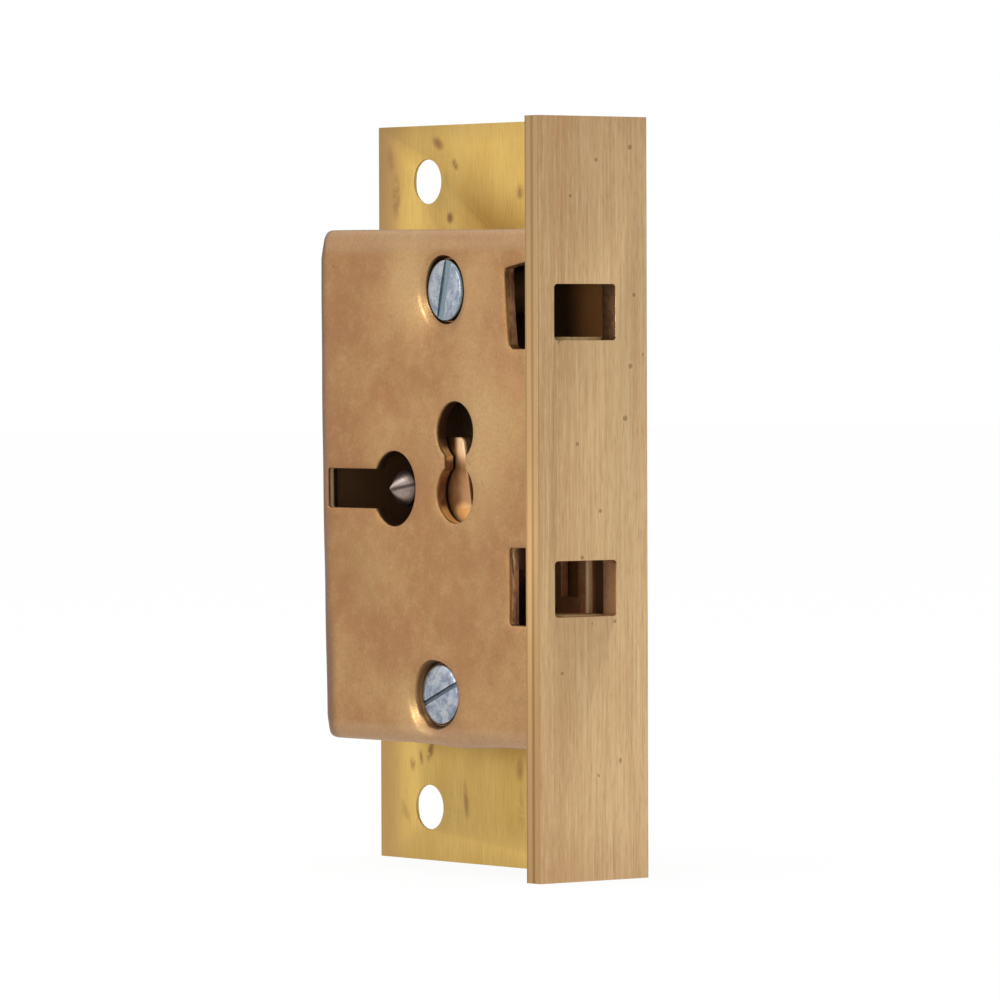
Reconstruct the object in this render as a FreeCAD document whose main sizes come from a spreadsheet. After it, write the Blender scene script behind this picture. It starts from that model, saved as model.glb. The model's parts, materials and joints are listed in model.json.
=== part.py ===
import FreeCAD
import Part
import Sketcher
import os
import re

# Box lock with two levers, in millimetres.
# The origin is where the drill pin's axis meets the front face of the back plate.
# +X points out of the selvedge, -Y out of the cap and +Z along the lock, up.
# Depth is measured from the back plate's front face towards the cap, so y = -depth.
# The bolt is drawn back, the unlocked state, and moves up to lock.

SIZES = {
    # Selvedge and back plate
    "lock_length": 76.0,
    "pin_above_middle": 0.8,
    "backset": 24.4,
    "selvedge_width": 13.9,
    "selvedge_thickness": 2.1,
    "selvedge_edge_radius": 0.2,
    "plate_thickness": 2.0,
    "plate_reach": 39.9,
    "lug_length": 8.0,
    "lug_depth": 1.2,
    "lug_thickness": 1.2,
    "lug_spacing": 50.0,
    # Screw holes of the back plate
    "fixing_from_top": 5.8,
    "fixing_from_bottom": 5.5,
    "fixing_from_edge": 8.4,
    "fixing_bore": 4.6,
    "fixing_countersink": 9.0,
    "fixing_land": 0.25,
    # Mortises for the link plate's hooks
    "mortise_width": 7.8,
    "mortise_from_front": 2.0,
    "mortise_height": 5.6,
    "mortise_upper": 17.75,
    "mortise_lower": -9.7,
    # Cap
    "cap_setback": 0.3,
    "cap_width": 35.2,
    "cap_height": 51.7,
    "cap_above_pin": 0.2,
    "cap_wall": 1.2,
    "cap_bend": 2.3,
    "cap_corner": 0.9,
    "least_bend": 0.1,
    "keyhole_bore": 7.6,
    "keyhole_slot_height": 3.9,
    "keyhole_slot_reach": 10.85,
    "window_across": 10.35,
    "window_lobe": 6.0,
    "window_neck": 3.4,
    "window_upper": 5.85,
    "window_lower": -0.35,
    "notch_upper": 18.2,
    "notch_upper_height": 8.1,
    "notch_upper_depth": 3.8,
    "notch_upper_foot": 3.2,
    "notch_lower": -9.5,
    "notch_lower_height": 7.7,
    "notch_lower_depth": 3.05,
    # Dished seats, cap screws and pillars
    "upper_pillar_across": 8.5,
    "upper_pillar_inset": 6.0,
    "pivot_across": 6.6,
    "pivot_inset": 4.95,
    "pillar_tail": 3.0,
    "upper_pillar_width": 5.0,
    "pivot_width": 4.0,
    "dish_depth": 1.1,
    "dish_rim": 7.7,
    "dish_floor": 6.7,
    "screw_head_width": 6.2,
    "screw_head_height": 0.6,
    "screw_slot_width": 0.7,
    "screw_slot_depth": 0.35,
    "screw_shank": 2.5,
    "screw_reach": 5.2,
    "screw_clearance": 0.15,
    "upper_slot_turn": 76.0,
    "lower_slot_turn": 22.0,
    # Drill pin
    "drill_pin_width": 3.7,
    "drill_pin_tip": 1.9,
    "drill_pin_proud": 0.3,
    "drill_pin_tail": 2.6,
    # Bolt
    "bolt_travel": 6.3,
    "bolt_gap": 0.1,
    "bolt_thickness": 0.9,
    "bolt_edge": 3.9,
    "bolt_width": 9.1,
    "bolt_arm_width": 5.1,
    "bolt_body_top": 9.0,
    "bolt_body_bottom": -12.0,
    "talon_depth": 1.3,
    "talon_height": 4.4,
    "bolt_head_height": 6.5,
    "bolt_head_width": 4.1,
    "bolt_head_depth": 5.7,
    "upper_head_lead": 0.35,
    "lower_head_lead": 0.1,
    "bolt_head_gap": 0.3,
    "bolt_foot_depth": 2.0,
    "rivet_width": 1.6,
    "rivet_head_width": 2.8,
    "rivet_head_depth": 0.6,
    "rivet_spacing": 3.2,
    "rivet_inset": 2.25,
    # Bolt stump, which the lever gates let through
    "stump_across": 12.3,
    "stump_up": 0.8,
    "stump_width": 1.4,
    "stump_past_levers": 0.1,
    # Guide studs of the bolt
    "stud_across": 15.5,
    "stud_upper": 6.0,
    "stud_spacing": 9.2,
    "stud_width": 2.6,
    "stud_head_width": 4.0,
    "stud_head_depth": 0.8,
    "stud_tail": 1.6,
    # Levers
    "lever_thickness": 1.5,
    "lever_play": 0.3,
    "lever_lift": 4.0,
    "lever_eye": 7.2,
    "lever_arm_left": 3.0,
    "lever_arm_right": 3.0,
    "lever_arm_top": -14.0,
    "lever_top": 5.25,
    "lever_right": 14.9,
    "lever_shoulder": -8.0,
    "lever_tip_radius": 0.8,
    "front_lever_raise": 1.1,
    "raise_foot": -12.5,
    "raise_overlap": 1.5,
    "key_step_reach": 7.9,
    "gate_left": 9.85,
    "gate_right": 12.5,
    "gate_depth": 1.05,
    "pocket_left": 11.2,
    "pocket_right": 13.5,
    "pocket_bottom": -1.6,
    "washer_thickness": 0.2,
    "washer_gap": 0.05,
    "collar_width": 6.4,
    # Lever springs
    "spring_thickness": 0.3,
    "spring_width": 1.1,
    "spring_root": -2.2,
    "spring_grip": 1.0,
    "spring_gap": 0.05,
    # Lever stop
    "stop_width": 2.0,
    "stop_tail": 1.4,
    "stop_up": -13.0,
    # Fits
    "running_gap": 0.04,
    "fixed_gap": 0.02,
}

# Sizes that follow from the ones above.
DERIVED = {
    "front": "selvedge_width - plate_thickness - cap_setback",
    "cap_inside": "front - cap_wall",
    "seat_depth": "front - dish_depth",
    "pillar_length": "seat_depth - cap_wall",
    "inner_face": "backset - selvedge_thickness",
    "lock_top": "lock_length / 2 - pin_above_middle",
    "lock_bottom": "-lock_length / 2 - pin_above_middle",
    "plate_left": "inner_face - plate_reach",
    "cap_left": "inner_face - cap_width",
    "fixing_across": "plate_left + fixing_from_edge",
    "fixing_upper": "lock_top - fixing_from_top",
    "fixing_lower": "lock_bottom + fixing_from_bottom",
    "mortise_front": "selvedge_width - plate_thickness - mortise_from_front",
    "mortise_back": "mortise_front - mortise_width",
    "bolt_front": "bolt_gap + bolt_thickness",
    "bolt_right": "inner_face - bolt_edge",
    "bolt_left": "bolt_right - bolt_width",
    "bolt_arm_left": "bolt_right - bolt_arm_width",
    "head_upper_top": "mortise_upper - mortise_height / 2 + upper_head_lead",
    "head_lower_top": "mortise_lower - mortise_height / 2 + lower_head_lead",
    "head_right": "inner_face - bolt_head_gap",
    "rivet_across": "bolt_arm_left + rivet_inset",
    "stud_lower": "stud_upper - stud_spacing",
    "front_lever_front": "pillar_length - lever_play",
    "front_lever_back": "front_lever_front - lever_thickness",
    "rear_lever_front": "front_lever_back - washer_thickness - 2 * washer_gap",
    "rear_lever_back": "rear_lever_front - lever_thickness",
    "cap_top": "cap_above_pin + cap_height / 2",
    "cap_bottom": "cap_above_pin - cap_height / 2",
    "upper_pillar_up": "cap_top - upper_pillar_inset",
    "pivot_up": "cap_bottom + pivot_inset",
    "belly_across": "pivot_up * tan(lever_lift * 1deg)",
    "spring_radius": "inner_face - spring_gap - lever_right",
    "stop_across": "pivot_across - lever_arm_left - spring_gap - stop_width / 2",
}

# Where the two pillars stand: the upper one, and the lower one that the levers turn on.
PILLARS = (("upper_pillar_across", "upper_pillar_up"), ("pivot_across", "pivot_up"))

FUNCTIONS = {"tan", "max", "min", "deg"}
ALONG_DEPTH = FreeCAD.Rotation(FreeCAD.Vector(1, 0, 0), 90)
NEAR = 0.01
ROUGH_RADIUS = 20.0

doc = FreeCAD.newDocument("BoxLock")
sheet = doc.addObject("Spreadsheet::Sheet", "Sizes")
for row, (alias, value) in enumerate(SIZES.items(), 1):
    sheet.set(f"A{row}", str(value))
    sheet.setAlias(f"A{row}", alias)
doc.recompute()


def formula(text):
    """The expression for text, with each size read from the sheet."""

    def swap(found):
        word = found.group(0)
        if word in FUNCTIONS:
            return word
        if word in DERIVED:
            return "(" + formula(DERIVED[word]) + ")"
        return "Sizes." + word

    return re.sub(r"[a-z_]+", swap, text)


def bind(thing, name, text):
    thing.setExpression(name, formula(text))


def place(thing, across, depth, up, turn=ALONG_DEPTH):
    """Puts thing's own origin at across, depth and up."""
    thing.Placement = FreeCAD.Placement(FreeCAD.Vector(0, 0, 0), turn)
    bind(thing, "Placement.Base.x", across)
    bind(thing, "Placement.Base.y", f"-({depth})")
    bind(thing, "Placement.Base.z", up)


# Part primitives


def rod(name, width, across, up, start, end):
    """A cylinder along the depth, from start to end."""
    made = doc.addObject("Part::Cylinder", name)
    bind(made, "Radius", f"({width}) / 2")
    bind(made, "Height", f"({end}) - ({start})")
    place(made, across, start, up)
    return made


def cone(name, start_width, end_width, across, up, start, end):
    made = doc.addObject("Part::Cone", name)
    bind(made, "Radius1", f"({start_width}) / 2")
    bind(made, "Radius2", f"({end_width}) / 2")
    bind(made, "Height", f"({end}) - ({start})")
    place(made, across, start, up)
    return made


def block(name, left, right, start, end, bottom, top):
    made = doc.addObject("Part::Box", name)
    bind(made, "Length", f"({right}) - ({left})")
    bind(made, "Width", f"({end}) - ({start})")
    bind(made, "Height", f"({top}) - ({bottom})")
    place(made, left, end, bottom, FreeCAD.Rotation())
    return made


def fuse(name, shapes):
    made = doc.addObject("Part::MultiFuse", name)
    made.Shapes = shapes
    made.Refine = True
    return made


def cut(name, base, tool):
    made = doc.addObject("Part::Cut", name)
    made.Base = base
    made.Tool = tool
    return made


# Sketches and features of a body


def new_body(name):
    body = doc.addObject("PartDesign::Body", name)
    body.Label = name
    return body


def new_sketch(body, name, role, offset="0"):
    """A sketch on one of body's own planes, offset along the plane's normal."""
    plane = next(f for f in body.Origin.OriginFeatures if f.Role == role)
    sketch = body.newObject("Sketcher::SketchObject", f"{body.Name}_{name}")
    sketch.AttachmentSupport = [(plane, "")]
    sketch.MapMode = "FlatFace"
    bind(sketch, "AttachmentOffset.Base.z", offset)
    return sketch


def pin_down(sketch, piece, end, across, up):
    """Holds one point of a sketch piece at across and up."""
    for kind, text in (("DistanceX", across), ("DistanceY", up)):
        index = sketch.addConstraint(Sketcher.Constraint(kind, -1, 1, piece, end, 1.0))
        bind(sketch, f"Constraints[{index}]", text)


def outline(sketch, corners):
    """A closed outline of straight lines through corners, each held by its own formulas."""
    count = len(corners)
    rough = [FreeCAD.Vector(ROUGH_RADIUS, 0, 0)]
    for _ in range(count - 1):
        turned = FreeCAD.Rotation(FreeCAD.Vector(0, 0, 1), 360 / count).multVec(rough[-1])
        rough.append(turned)
    first = sketch.GeometryCount
    for i in range(count):
        sketch.addGeometry(Part.LineSegment(rough[i], rough[(i + 1) % count]), False)
    for i in range(count):
        following = first + (i + 1) % count
        sketch.addConstraint(Sketcher.Constraint("Coincident", first + i, 2, following, 1))
    for i, (across, up) in enumerate(corners):
        pin_down(sketch, first + i, 1, across, up)


def rectangle(sketch, left, right, bottom, top):
    outline(sketch, [(left, bottom), (right, bottom), (right, top), (left, top)])


def ring(sketch, width, across, up):
    """A circle."""
    made = sketch.addGeometry(
        Part.Circle(FreeCAD.Vector(0, 0, 0), FreeCAD.Vector(0, 0, 1), 1), False
    )
    pin_down(sketch, made, 3, across, up)
    index = sketch.addConstraint(Sketcher.Constraint("Radius", made, 1.0))
    bind(sketch, f"Constraints[{index}]", f"({width}) / 2")


def pad(body, sketch, length, away=False):
    made = body.newObject("PartDesign::Pad", f"{sketch.Name}_pad")
    made.Profile = sketch
    made.Reversed = away
    bind(made, "Length", length)
    doc.recompute()
    return made


def pocket(body, sketch, length, along_normal=True):
    """Cuts the sketch out, along its plane's normal or against it."""
    before = body.Shape.Volume
    made = body.newObject("PartDesign::Pocket", f"{sketch.Name}_pocket")
    made.Profile = sketch
    made.Reversed = along_normal
    bind(made, "Length", length)
    doc.recompute()
    if not body.Shape.Volume < before - 1e-3:
        raise RuntimeError(f"{made.Name} cut nothing")
    return made


def fillet(body, name, radius, wanted):
    """Rounds the edges of body's shape that wanted picks."""
    doc.recompute()
    base = body.Tip
    edges = [f"Edge{i}" for i, edge in enumerate(base.Shape.Edges, 1) if wanted(edge)]
    if not edges:
        raise RuntimeError(f"{name} found no edge")
    made = body.newObject("PartDesign::Fillet", f"{body.Name}_{name}")
    made.Base = (base, edges)
    bind(made, "Radius", radius)
    doc.recompute()
    return made


def feature_cone(body, kind, name, start_width, end_width, across, up, start, end):
    """A cone along the depth that is added to body or taken from it."""
    made = body.newObject(f"PartDesign::{kind}Cone", f"{body.Name}_{name}")
    made.MapMode = "Deactivated"
    bind(made, "Radius1", f"({start_width}) / 2")
    bind(made, "Radius2", f"({end_width}) / 2")
    bind(made, "Height", f"({end}) - ({start})")
    place(made, across, start, up)
    doc.recompute()
    return made


def along_y(edge):
    box = edge.BoundBox
    return box.XLength < NEAR and box.ZLength < NEAR


def along_z(edge):
    box = edge.BoundBox
    return box.XLength < NEAR and box.YLength < NEAR


# Selvedge: the thick edge plate, with a mortise for each hook and two blind slots for the plate's lugs
def make_selvedge():
    body = new_body("selvedge")
    sketch = new_sketch(body, "outline", "YZ_Plane", "inner_face")
    rectangle(
        sketch,
        "-(selvedge_width - plate_thickness)",
        "plate_thickness",
        "lock_bottom",
        "lock_top",
    )
    pad(body, sketch, "selvedge_thickness")
    for name, middle in (("upper", "mortise_upper"), ("lower", "mortise_lower")):
        sketch = new_sketch(body, f"{name}_mortise", "YZ_Plane", "inner_face")
        rectangle(
            sketch,
            "-(mortise_front)",
            "-(mortise_back)",
            f"{middle} - mortise_height / 2",
            f"{middle} + mortise_height / 2",
        )
        pocket(body, sketch, "selvedge_thickness")
    for name, side in (("upper", "1"), ("lower", "-1")):
        sketch = new_sketch(body, f"{name}_lug_slot", "YZ_Plane", "inner_face")
        rectangle(
            sketch,
            "(plate_thickness - lug_thickness) / 2 - fixed_gap",
            "(plate_thickness + lug_thickness) / 2 + fixed_gap",
            f"{side} * lug_spacing / 2 - lug_length / 2 - fixed_gap - pin_above_middle",
            f"{side} * lug_spacing / 2 + lug_length / 2 + fixed_gap - pin_above_middle",
        )
        pocket(body, sketch, "lug_depth + fixed_gap")
    box = body.Shape.BoundBox

    def outer_edge(edge):
        on_side = abs(edge.BoundBox.YMin - box.YMin) < NEAR or abs(edge.BoundBox.YMax - box.YMax) < NEAR
        return along_z(edge) and on_side and edge.BoundBox.XMin > box.XMax - NEAR

    fillet(body, "edges", "selvedge_edge_radius", outer_edge)
    return body


# Back plate: carries the mechanism, with countersunk screw holes and holes for the tails riveted into it
def make_back_plate():
    body = new_body("back_plate")
    sketch = new_sketch(body, "outline", "XZ_Plane")
    rectangle(sketch, "plate_left", "inner_face", "lock_bottom", "lock_top")
    pad(body, sketch, "plate_thickness", away=True)
    for name, side in (("upper", "1"), ("lower", "-1")):
        sketch = new_sketch(body, f"{name}_lug", "YZ_Plane", "inner_face")
        rectangle(
            sketch,
            "(plate_thickness - lug_thickness) / 2",
            "(plate_thickness + lug_thickness) / 2",
            f"{side} * lug_spacing / 2 - lug_length / 2 - pin_above_middle",
            f"{side} * lug_spacing / 2 + lug_length / 2 - pin_above_middle",
        )
        pad(body, sketch, "lug_depth")
    holes = new_sketch(body, "holes", "XZ_Plane")
    ring(holes, "fixing_bore", "fixing_across", "fixing_upper")
    ring(holes, "fixing_bore", "fixing_across", "fixing_lower")
    ring(holes, "drill_pin_tail + 2 * fixed_gap", "0", "0")
    for across, up in PILLARS:
        ring(holes, "pillar_tail + 2 * fixed_gap", across, up)
    ring(holes, "stud_tail + 2 * fixed_gap", "stud_across", "stud_upper")
    ring(holes, "stud_tail + 2 * fixed_gap", "stud_across", "stud_lower")
    ring(holes, "stop_tail + 2 * fixed_gap", "stop_across", "stop_up")
    pocket(body, holes, "plate_thickness", along_normal=False)
    for name in ("fixing_upper", "fixing_lower"):
        feature_cone(
            body,
            "Subtractive",
            f"{name}_sink",
            "fixing_countersink",
            "fixing_bore",
            "fixing_across",
            name,
            "-plate_thickness",
            "-fixing_land",
        )
    return body


# Cap: one pressed sheet with three folded walls, open towards the selvedge and the back plate
def make_cap():
    body = new_body("cap")
    sketch = new_sketch(body, "outline", "XZ_Plane")
    rectangle(sketch, "cap_left", "inner_face", "cap_bottom", "cap_top")
    pad(body, sketch, "front")
    outer = body.Shape.BoundBox
    fillet(
        body,
        "corners",
        "cap_corner",
        lambda edge: along_y(edge) and edge.BoundBox.XMax < outer.XMin + NEAR,
    )
    fillet(
        body,
        "folds",
        "cap_bend",
        lambda edge: edge.BoundBox.YMax < outer.YMin + NEAR
        and edge.BoundBox.XMin < outer.XMax - NEAR,
    )
    sketch = new_sketch(body, "hollow", "XZ_Plane")
    rectangle(
        sketch,
        "cap_left + cap_wall",
        "inner_face + cap_wall",
        "cap_bottom + cap_wall",
        "cap_top - cap_wall",
    )
    pocket(body, sketch, "cap_inside")
    inner_left = outer.XMin + SIZES["cap_wall"]
    inner_front = outer.YMin + SIZES["cap_wall"]

    def inner_corner(edge):
        return along_y(edge) and abs(edge.BoundBox.XMin - inner_left) < NEAR

    def inner_fold(edge):
        box = edge.BoundBox
        on_front = box.YLength < NEAR and abs(box.YMin - inner_front) < NEAR
        return on_front and box.XMin < outer.XMax - NEAR

    fillet(body, "inner_corners", "max(cap_corner - cap_wall; least_bend)", inner_corner)
    fillet(body, "inner_folds", "max(cap_bend - cap_wall; least_bend)", inner_fold)
    for name, (across, up) in zip(("upper", "lower"), PILLARS):
        feature_cone(
            body,
            "Additive",
            f"{name}_bulge",
            "dish_floor + cap_wall",
            "dish_rim + cap_wall",
            across,
            up,
            "pillar_length",
            "cap_inside",
        )
        feature_cone(
            body,
            "Subtractive",
            f"{name}_dish",
            "dish_floor",
            "dish_rim",
            across,
            up,
            "seat_depth",
            "front",
        )
    sketch = new_sketch(body, "screw_holes", "XZ_Plane")
    for across, up in PILLARS:
        ring(sketch, "screw_shank + 2 * screw_clearance", across, up)
    pocket(body, sketch, "front")
    sketch = new_sketch(body, "keyhole", "XZ_Plane")
    ring(sketch, "keyhole_bore", "0", "0")
    pocket(body, sketch, "front")
    sketch = new_sketch(body, "key_slot", "XZ_Plane")
    rectangle(
        sketch,
        "-keyhole_slot_reach",
        "0",
        "-keyhole_slot_height / 2",
        "keyhole_slot_height / 2",
    )
    pocket(body, sketch, "front")
    for name in ("window_upper", "window_lower"):
        sketch = new_sketch(body, name, "XZ_Plane")
        ring(sketch, "window_lobe", "window_across", name)
        pocket(body, sketch, "front")
    sketch = new_sketch(body, "window_neck", "XZ_Plane")
    rectangle(
        sketch,
        "window_across - window_neck / 2",
        "window_across + window_neck / 2",
        "window_lower",
        "window_upper",
    )
    pocket(body, sketch, "front")
    sketch = new_sketch(body, "upper_notch", "XZ_Plane")
    top = "notch_upper + notch_upper_height / 2"
    foot = "notch_upper - notch_upper_height / 2"
    outline(
        sketch,
        [
            ("inner_face - notch_upper_depth", top),
            ("inner_face - notch_upper_foot", foot),
            ("inner_face + cap_wall", foot),
            ("inner_face + cap_wall", top),
        ],
    )
    pocket(body, sketch, "front")
    sketch = new_sketch(body, "lower_notch", "XZ_Plane")
    rectangle(
        sketch,
        "inner_face - notch_lower_depth",
        "inner_face + cap_wall",
        "notch_lower - notch_lower_height / 2",
        "notch_lower + notch_lower_height / 2",
    )
    pocket(body, sketch, "front")
    return body


# Drill pin: a round pin with a turned point, riveted into the back plate by its tail
def make_drill_pin():
    tip_start = "front + drill_pin_proud - drill_pin_tip"
    tail = rod("drill_pin_tail_rod", "drill_pin_tail", "0", "0", "-plate_thickness", "0")
    stem = rod("drill_pin_stem", "drill_pin_width", "0", "0", "0", tip_start)
    tip = cone(
        "drill_pin_point",
        "drill_pin_width",
        "0",
        "0",
        "0",
        tip_start,
        "front + drill_pin_proud",
    )
    return fuse("drill_pin", [tail, stem, tip])


# Pillars: turned posts that carry the cap screws; the lower one is the levers' pivot
def make_pillar(name, width, across, up):
    tail = rod(f"{name}_tail", "pillar_tail", across, up, "-plate_thickness", "0")
    stem = rod(f"{name}_stem", width, across, up, "0", "pillar_length")
    whole = fuse(f"{name}_blank", [tail, stem])
    hole = rod(
        f"{name}_hole",
        "screw_shank + 2 * fixed_gap",
        across,
        up,
        "seat_depth - screw_reach - screw_clearance",
        "front",
    )
    return cut(name, whole, hole)


# Cap screws: slotted heads that sit in the dished seats
def make_cap_screw(name, across, up, turn):
    seat = "seat_depth"
    shank = rod(f"{name}_shank", "screw_shank", across, up, f"{seat} - screw_reach", seat)
    head = rod(
        f"{name}_head",
        "screw_head_width",
        across,
        up,
        seat,
        f"{seat} + screw_head_height",
    )
    whole = fuse(f"{name}_blank", [shank, head])
    slot = doc.addObject("Part::Box", f"{name}_slot")
    bind(slot, "Length", "2 * screw_head_width")
    bind(slot, "Width", "2 * screw_slot_depth")
    bind(slot, "Height", "screw_slot_width")
    slot_front = f"{seat} + screw_head_height + screw_slot_depth"
    place(slot, across, slot_front, up, FreeCAD.Rotation())
    bind(slot, "Placement.Rotation.Angle", f"-({turn})")
    slot.Placement.Rotation.Axis = FreeCAD.Vector(0, 1, 0)
    return cut(name, whole, slot)


# Bolt plate: slides on the two guide studs, with a long slot for them and the talon that the key turns in
def make_bolt_plate():
    body = new_body("bolt_plate")
    sketch = new_sketch(body, "outline", "XZ_Plane", "bolt_gap")
    talon_middle = "-bolt_travel / 2"
    outline(
        sketch,
        [
            ("bolt_arm_left", "head_upper_top"),
            ("bolt_arm_left", "bolt_body_top"),
            ("bolt_left", "bolt_body_top"),
            ("bolt_left", f"{talon_middle} + talon_height / 2"),
            ("bolt_left + talon_depth", f"{talon_middle} + talon_height / 2"),
            ("bolt_left + talon_depth", f"{talon_middle} - talon_height / 2"),
            ("bolt_left", f"{talon_middle} - talon_height / 2"),
            ("bolt_left", "bolt_body_bottom"),
            ("bolt_arm_left", "bolt_body_bottom"),
            ("bolt_arm_left", "head_lower_top - bolt_head_height"),
            ("bolt_right", "head_lower_top - bolt_head_height"),
            ("bolt_right", "head_upper_top"),
        ],
    )
    pad(body, sketch, "bolt_thickness")
    sketch = new_sketch(body, "slot", "XZ_Plane", "bolt_gap")
    rectangle(
        sketch,
        "stud_across - stud_width / 2 - running_gap",
        "stud_across + stud_width / 2 + running_gap",
        "stud_lower - stud_width / 2 - running_gap - bolt_travel",
        "stud_upper + stud_width / 2 + running_gap",
    )
    pocket(body, sketch, "bolt_thickness")
    sketch = new_sketch(body, "stump_hole", "XZ_Plane", "bolt_gap")
    half = "(stump_width / 2 + fixed_gap)"
    rectangle(
        sketch,
        f"stump_across - {half}",
        f"stump_across + {half}",
        f"stump_up - {half}",
        f"stump_up + {half}",
    )
    pocket(body, sketch, "bolt_thickness")
    sketch = new_sketch(body, "rivet_holes", "XZ_Plane", "bolt_gap")
    for up in rivet_heights():
        ring(sketch, "rivet_width + 2 * fixed_gap", "rivet_across", up)
    pocket(body, sketch, "bolt_thickness")
    return body


def rivet_heights():
    """Where each rivet is, up the lock: two in each bolt head's foot."""
    return [
        f"{top} - bolt_head_height / 2 + {side} * rivet_spacing / 2"
        for top in ("head_upper_top", "head_lower_top")
        for side in ("1", "-1")
    ]


# Bolt heads: blocks that close the mortises, each with a foot riveted to the bolt plate
def make_bolt_head(name, top, heights):
    bottom = f"{top} - bolt_head_height"
    head = block(
        f"{name}_block",
        "head_right - bolt_head_width",
        "head_right",
        "bolt_front",
        "bolt_front + bolt_head_depth",
        bottom,
        top,
    )
    foot = block(
        f"{name}_foot",
        "bolt_arm_left",
        "head_right",
        "bolt_front",
        "bolt_front + bolt_foot_depth",
        bottom,
        top,
    )
    whole = fuse(f"{name}_blank", [head, foot])
    holes = [
        rod(f"{name}_hole_{i}", "rivet_width + 2 * fixed_gap", "rivet_across", up, "0", "cap_inside")
        for i, up in enumerate(heights)
    ]
    return cut(name, whole, fuse(f"{name}_holes", holes))


# Bolt rivets: four alike, each with a flat head on the foot
def make_bolt_rivets():
    pieces = []
    for i, up in enumerate(rivet_heights()):
        seat = "bolt_front + bolt_foot_depth"
        shank = rod(f"rivet_{i}_shank", "rivet_width", "rivet_across", up, "bolt_gap", seat)
        head = cone(
            f"rivet_{i}_head",
            "rivet_head_width",
            "rivet_width",
            "rivet_across",
            up,
            seat,
            f"{seat} + rivet_head_depth",
        )
        pieces += [shank, head]
    return fuse("bolt_rivets", pieces)


# Bolt stump: the square post that the levers stop until both gates line up with it
def make_bolt_stump():
    return block(
        "bolt_stump",
        "stump_across - stump_width / 2",
        "stump_across + stump_width / 2",
        "bolt_gap",
        "front_lever_front + front_lever_raise + stump_past_levers",
        "stump_up - stump_width / 2",
        "stump_up + stump_width / 2",
    )


# Guide studs: headed studs that hold the bolt plate down and let it slide
def make_guide_stud(name, up):
    neck = "bolt_front + bolt_gap"
    tail = rod(f"{name}_tail", "stud_tail", "stud_across", up, "-plate_thickness", "0")
    stem = rod(f"{name}_stem", "stud_width", "stud_across", up, "0", neck)
    head = rod(f"{name}_head", "stud_head_width", "stud_across", up, neck, f"{neck} + stud_head_depth")
    return fuse(name, [tail, stem, head])


# Levers: each turns on the pivot, with a belly for the key, a pocket and a gate for the stump.
# The front lever's blade is raised past the dished seat, to lie close behind the cap.
def make_lever(name, back, rise="0"):
    body = new_body(name)
    full_depth = f"lever_thickness + {rise}"
    gate_foot = "lever_top - gate_depth"
    sketch = new_sketch(body, "outline", "XZ_Plane", back)
    outline(
        sketch,
        [
            ("pivot_across - lever_arm_left", "pivot_up"),
            ("pivot_across - lever_arm_left", "lever_top"),
            ("gate_left", "lever_top"),
            ("pocket_left", "pocket_bottom"),
            ("pocket_right", "pocket_bottom"),
            ("pocket_right", gate_foot),
            ("gate_right", gate_foot),
            ("gate_right", "lever_top"),
            ("lever_right", "lever_top"),
            ("lever_right", "lever_shoulder"),
            ("pivot_across + lever_arm_right", "lever_arm_top"),
            ("pivot_across + lever_arm_right", "pivot_up"),
        ],
    )
    pad(body, sketch, full_depth)
    sketch = new_sketch(body, "eye", "XZ_Plane", back)
    ring(sketch, "lever_eye", "pivot_across", "pivot_up")
    pad(body, sketch, full_depth)
    sketch = new_sketch(body, "bore", "XZ_Plane", back)
    ring(sketch, "pivot_width + 2 * running_gap", "pivot_across", "pivot_up")
    pocket(body, sketch, full_depth)
    sketch = new_sketch(body, "belly", "XZ_Plane", back)
    ring(sketch, "2 * key_step_reach", "belly_across", "0")
    pocket(body, sketch, full_depth)
    sketch = new_sketch(body, "spring_slit", "XZ_Plane", back)
    rectangle(
        sketch,
        "lever_right - spring_grip - fixed_gap",
        "lever_right + spring_grip",
        "spring_root - spring_thickness - fixed_gap",
        "spring_root + fixed_gap",
    )
    pocket(body, sketch, full_depth)
    if rise != "0":
        step_blade(body, back, rise)
    top = body.Shape.BoundBox.ZMax

    def tip(edge):
        return along_y(edge) and edge.BoundBox.ZMin > top - NEAR

    fillet(body, "tips", "min(lever_tip_radius; gate_depth - fixed_gap)", tip)
    return body


def step_blade(body, back, rise):
    """Cuts the thick blank so that the eye lies at the back and the blade rises towards the cap."""
    sides = ("pivot_across - lever_eye", "lever_right + lever_thickness")
    sketch = new_sketch(body, "eye_step", "XZ_Plane", f"{back} + lever_thickness")
    rectangle(sketch, *sides, "pivot_up - lever_eye", "raise_foot")
    pocket(body, sketch, rise)
    sketch = new_sketch(body, "blade_step", "XZ_Plane", back)
    rectangle(sketch, *sides, "raise_foot + raise_overlap", "lever_top + lever_thickness")
    pocket(body, sketch, rise)


# Lever springs: flat strips gripped in the levers' slits, bent round to bear on the selvedge
def make_spring(name, back):
    start = f"{back} + (lever_thickness - spring_width) / 2"
    middle_up = "spring_root + spring_radius"
    turn = FreeCAD.Rotation(FreeCAD.Vector(1, 0, 0), 90).multiply(
        FreeCAD.Rotation(FreeCAD.Vector(0, 0, 1), -90)
    )
    sectors = []
    for side, radius in (
        ("outer", "spring_radius + spring_thickness"),
        ("inner", "spring_radius"),
    ):
        sector = doc.addObject("Part::Cylinder", f"{name}_{side}")
        sector.Angle = 90
        bind(sector, "Radius", radius)
        bind(sector, "Height", "spring_width")
        place(sector, "lever_right - spring_thickness", start, middle_up, turn)
        sectors.append(sector)
    bow = cut(f"{name}_bow", sectors[0], sectors[1])
    root = block(
        f"{name}_root",
        "lever_right - spring_grip",
        "lever_right - spring_thickness",
        start,
        f"{start} + spring_width",
        "spring_root - spring_thickness",
        "spring_root",
    )
    return fuse(name, [bow, root])


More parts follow.
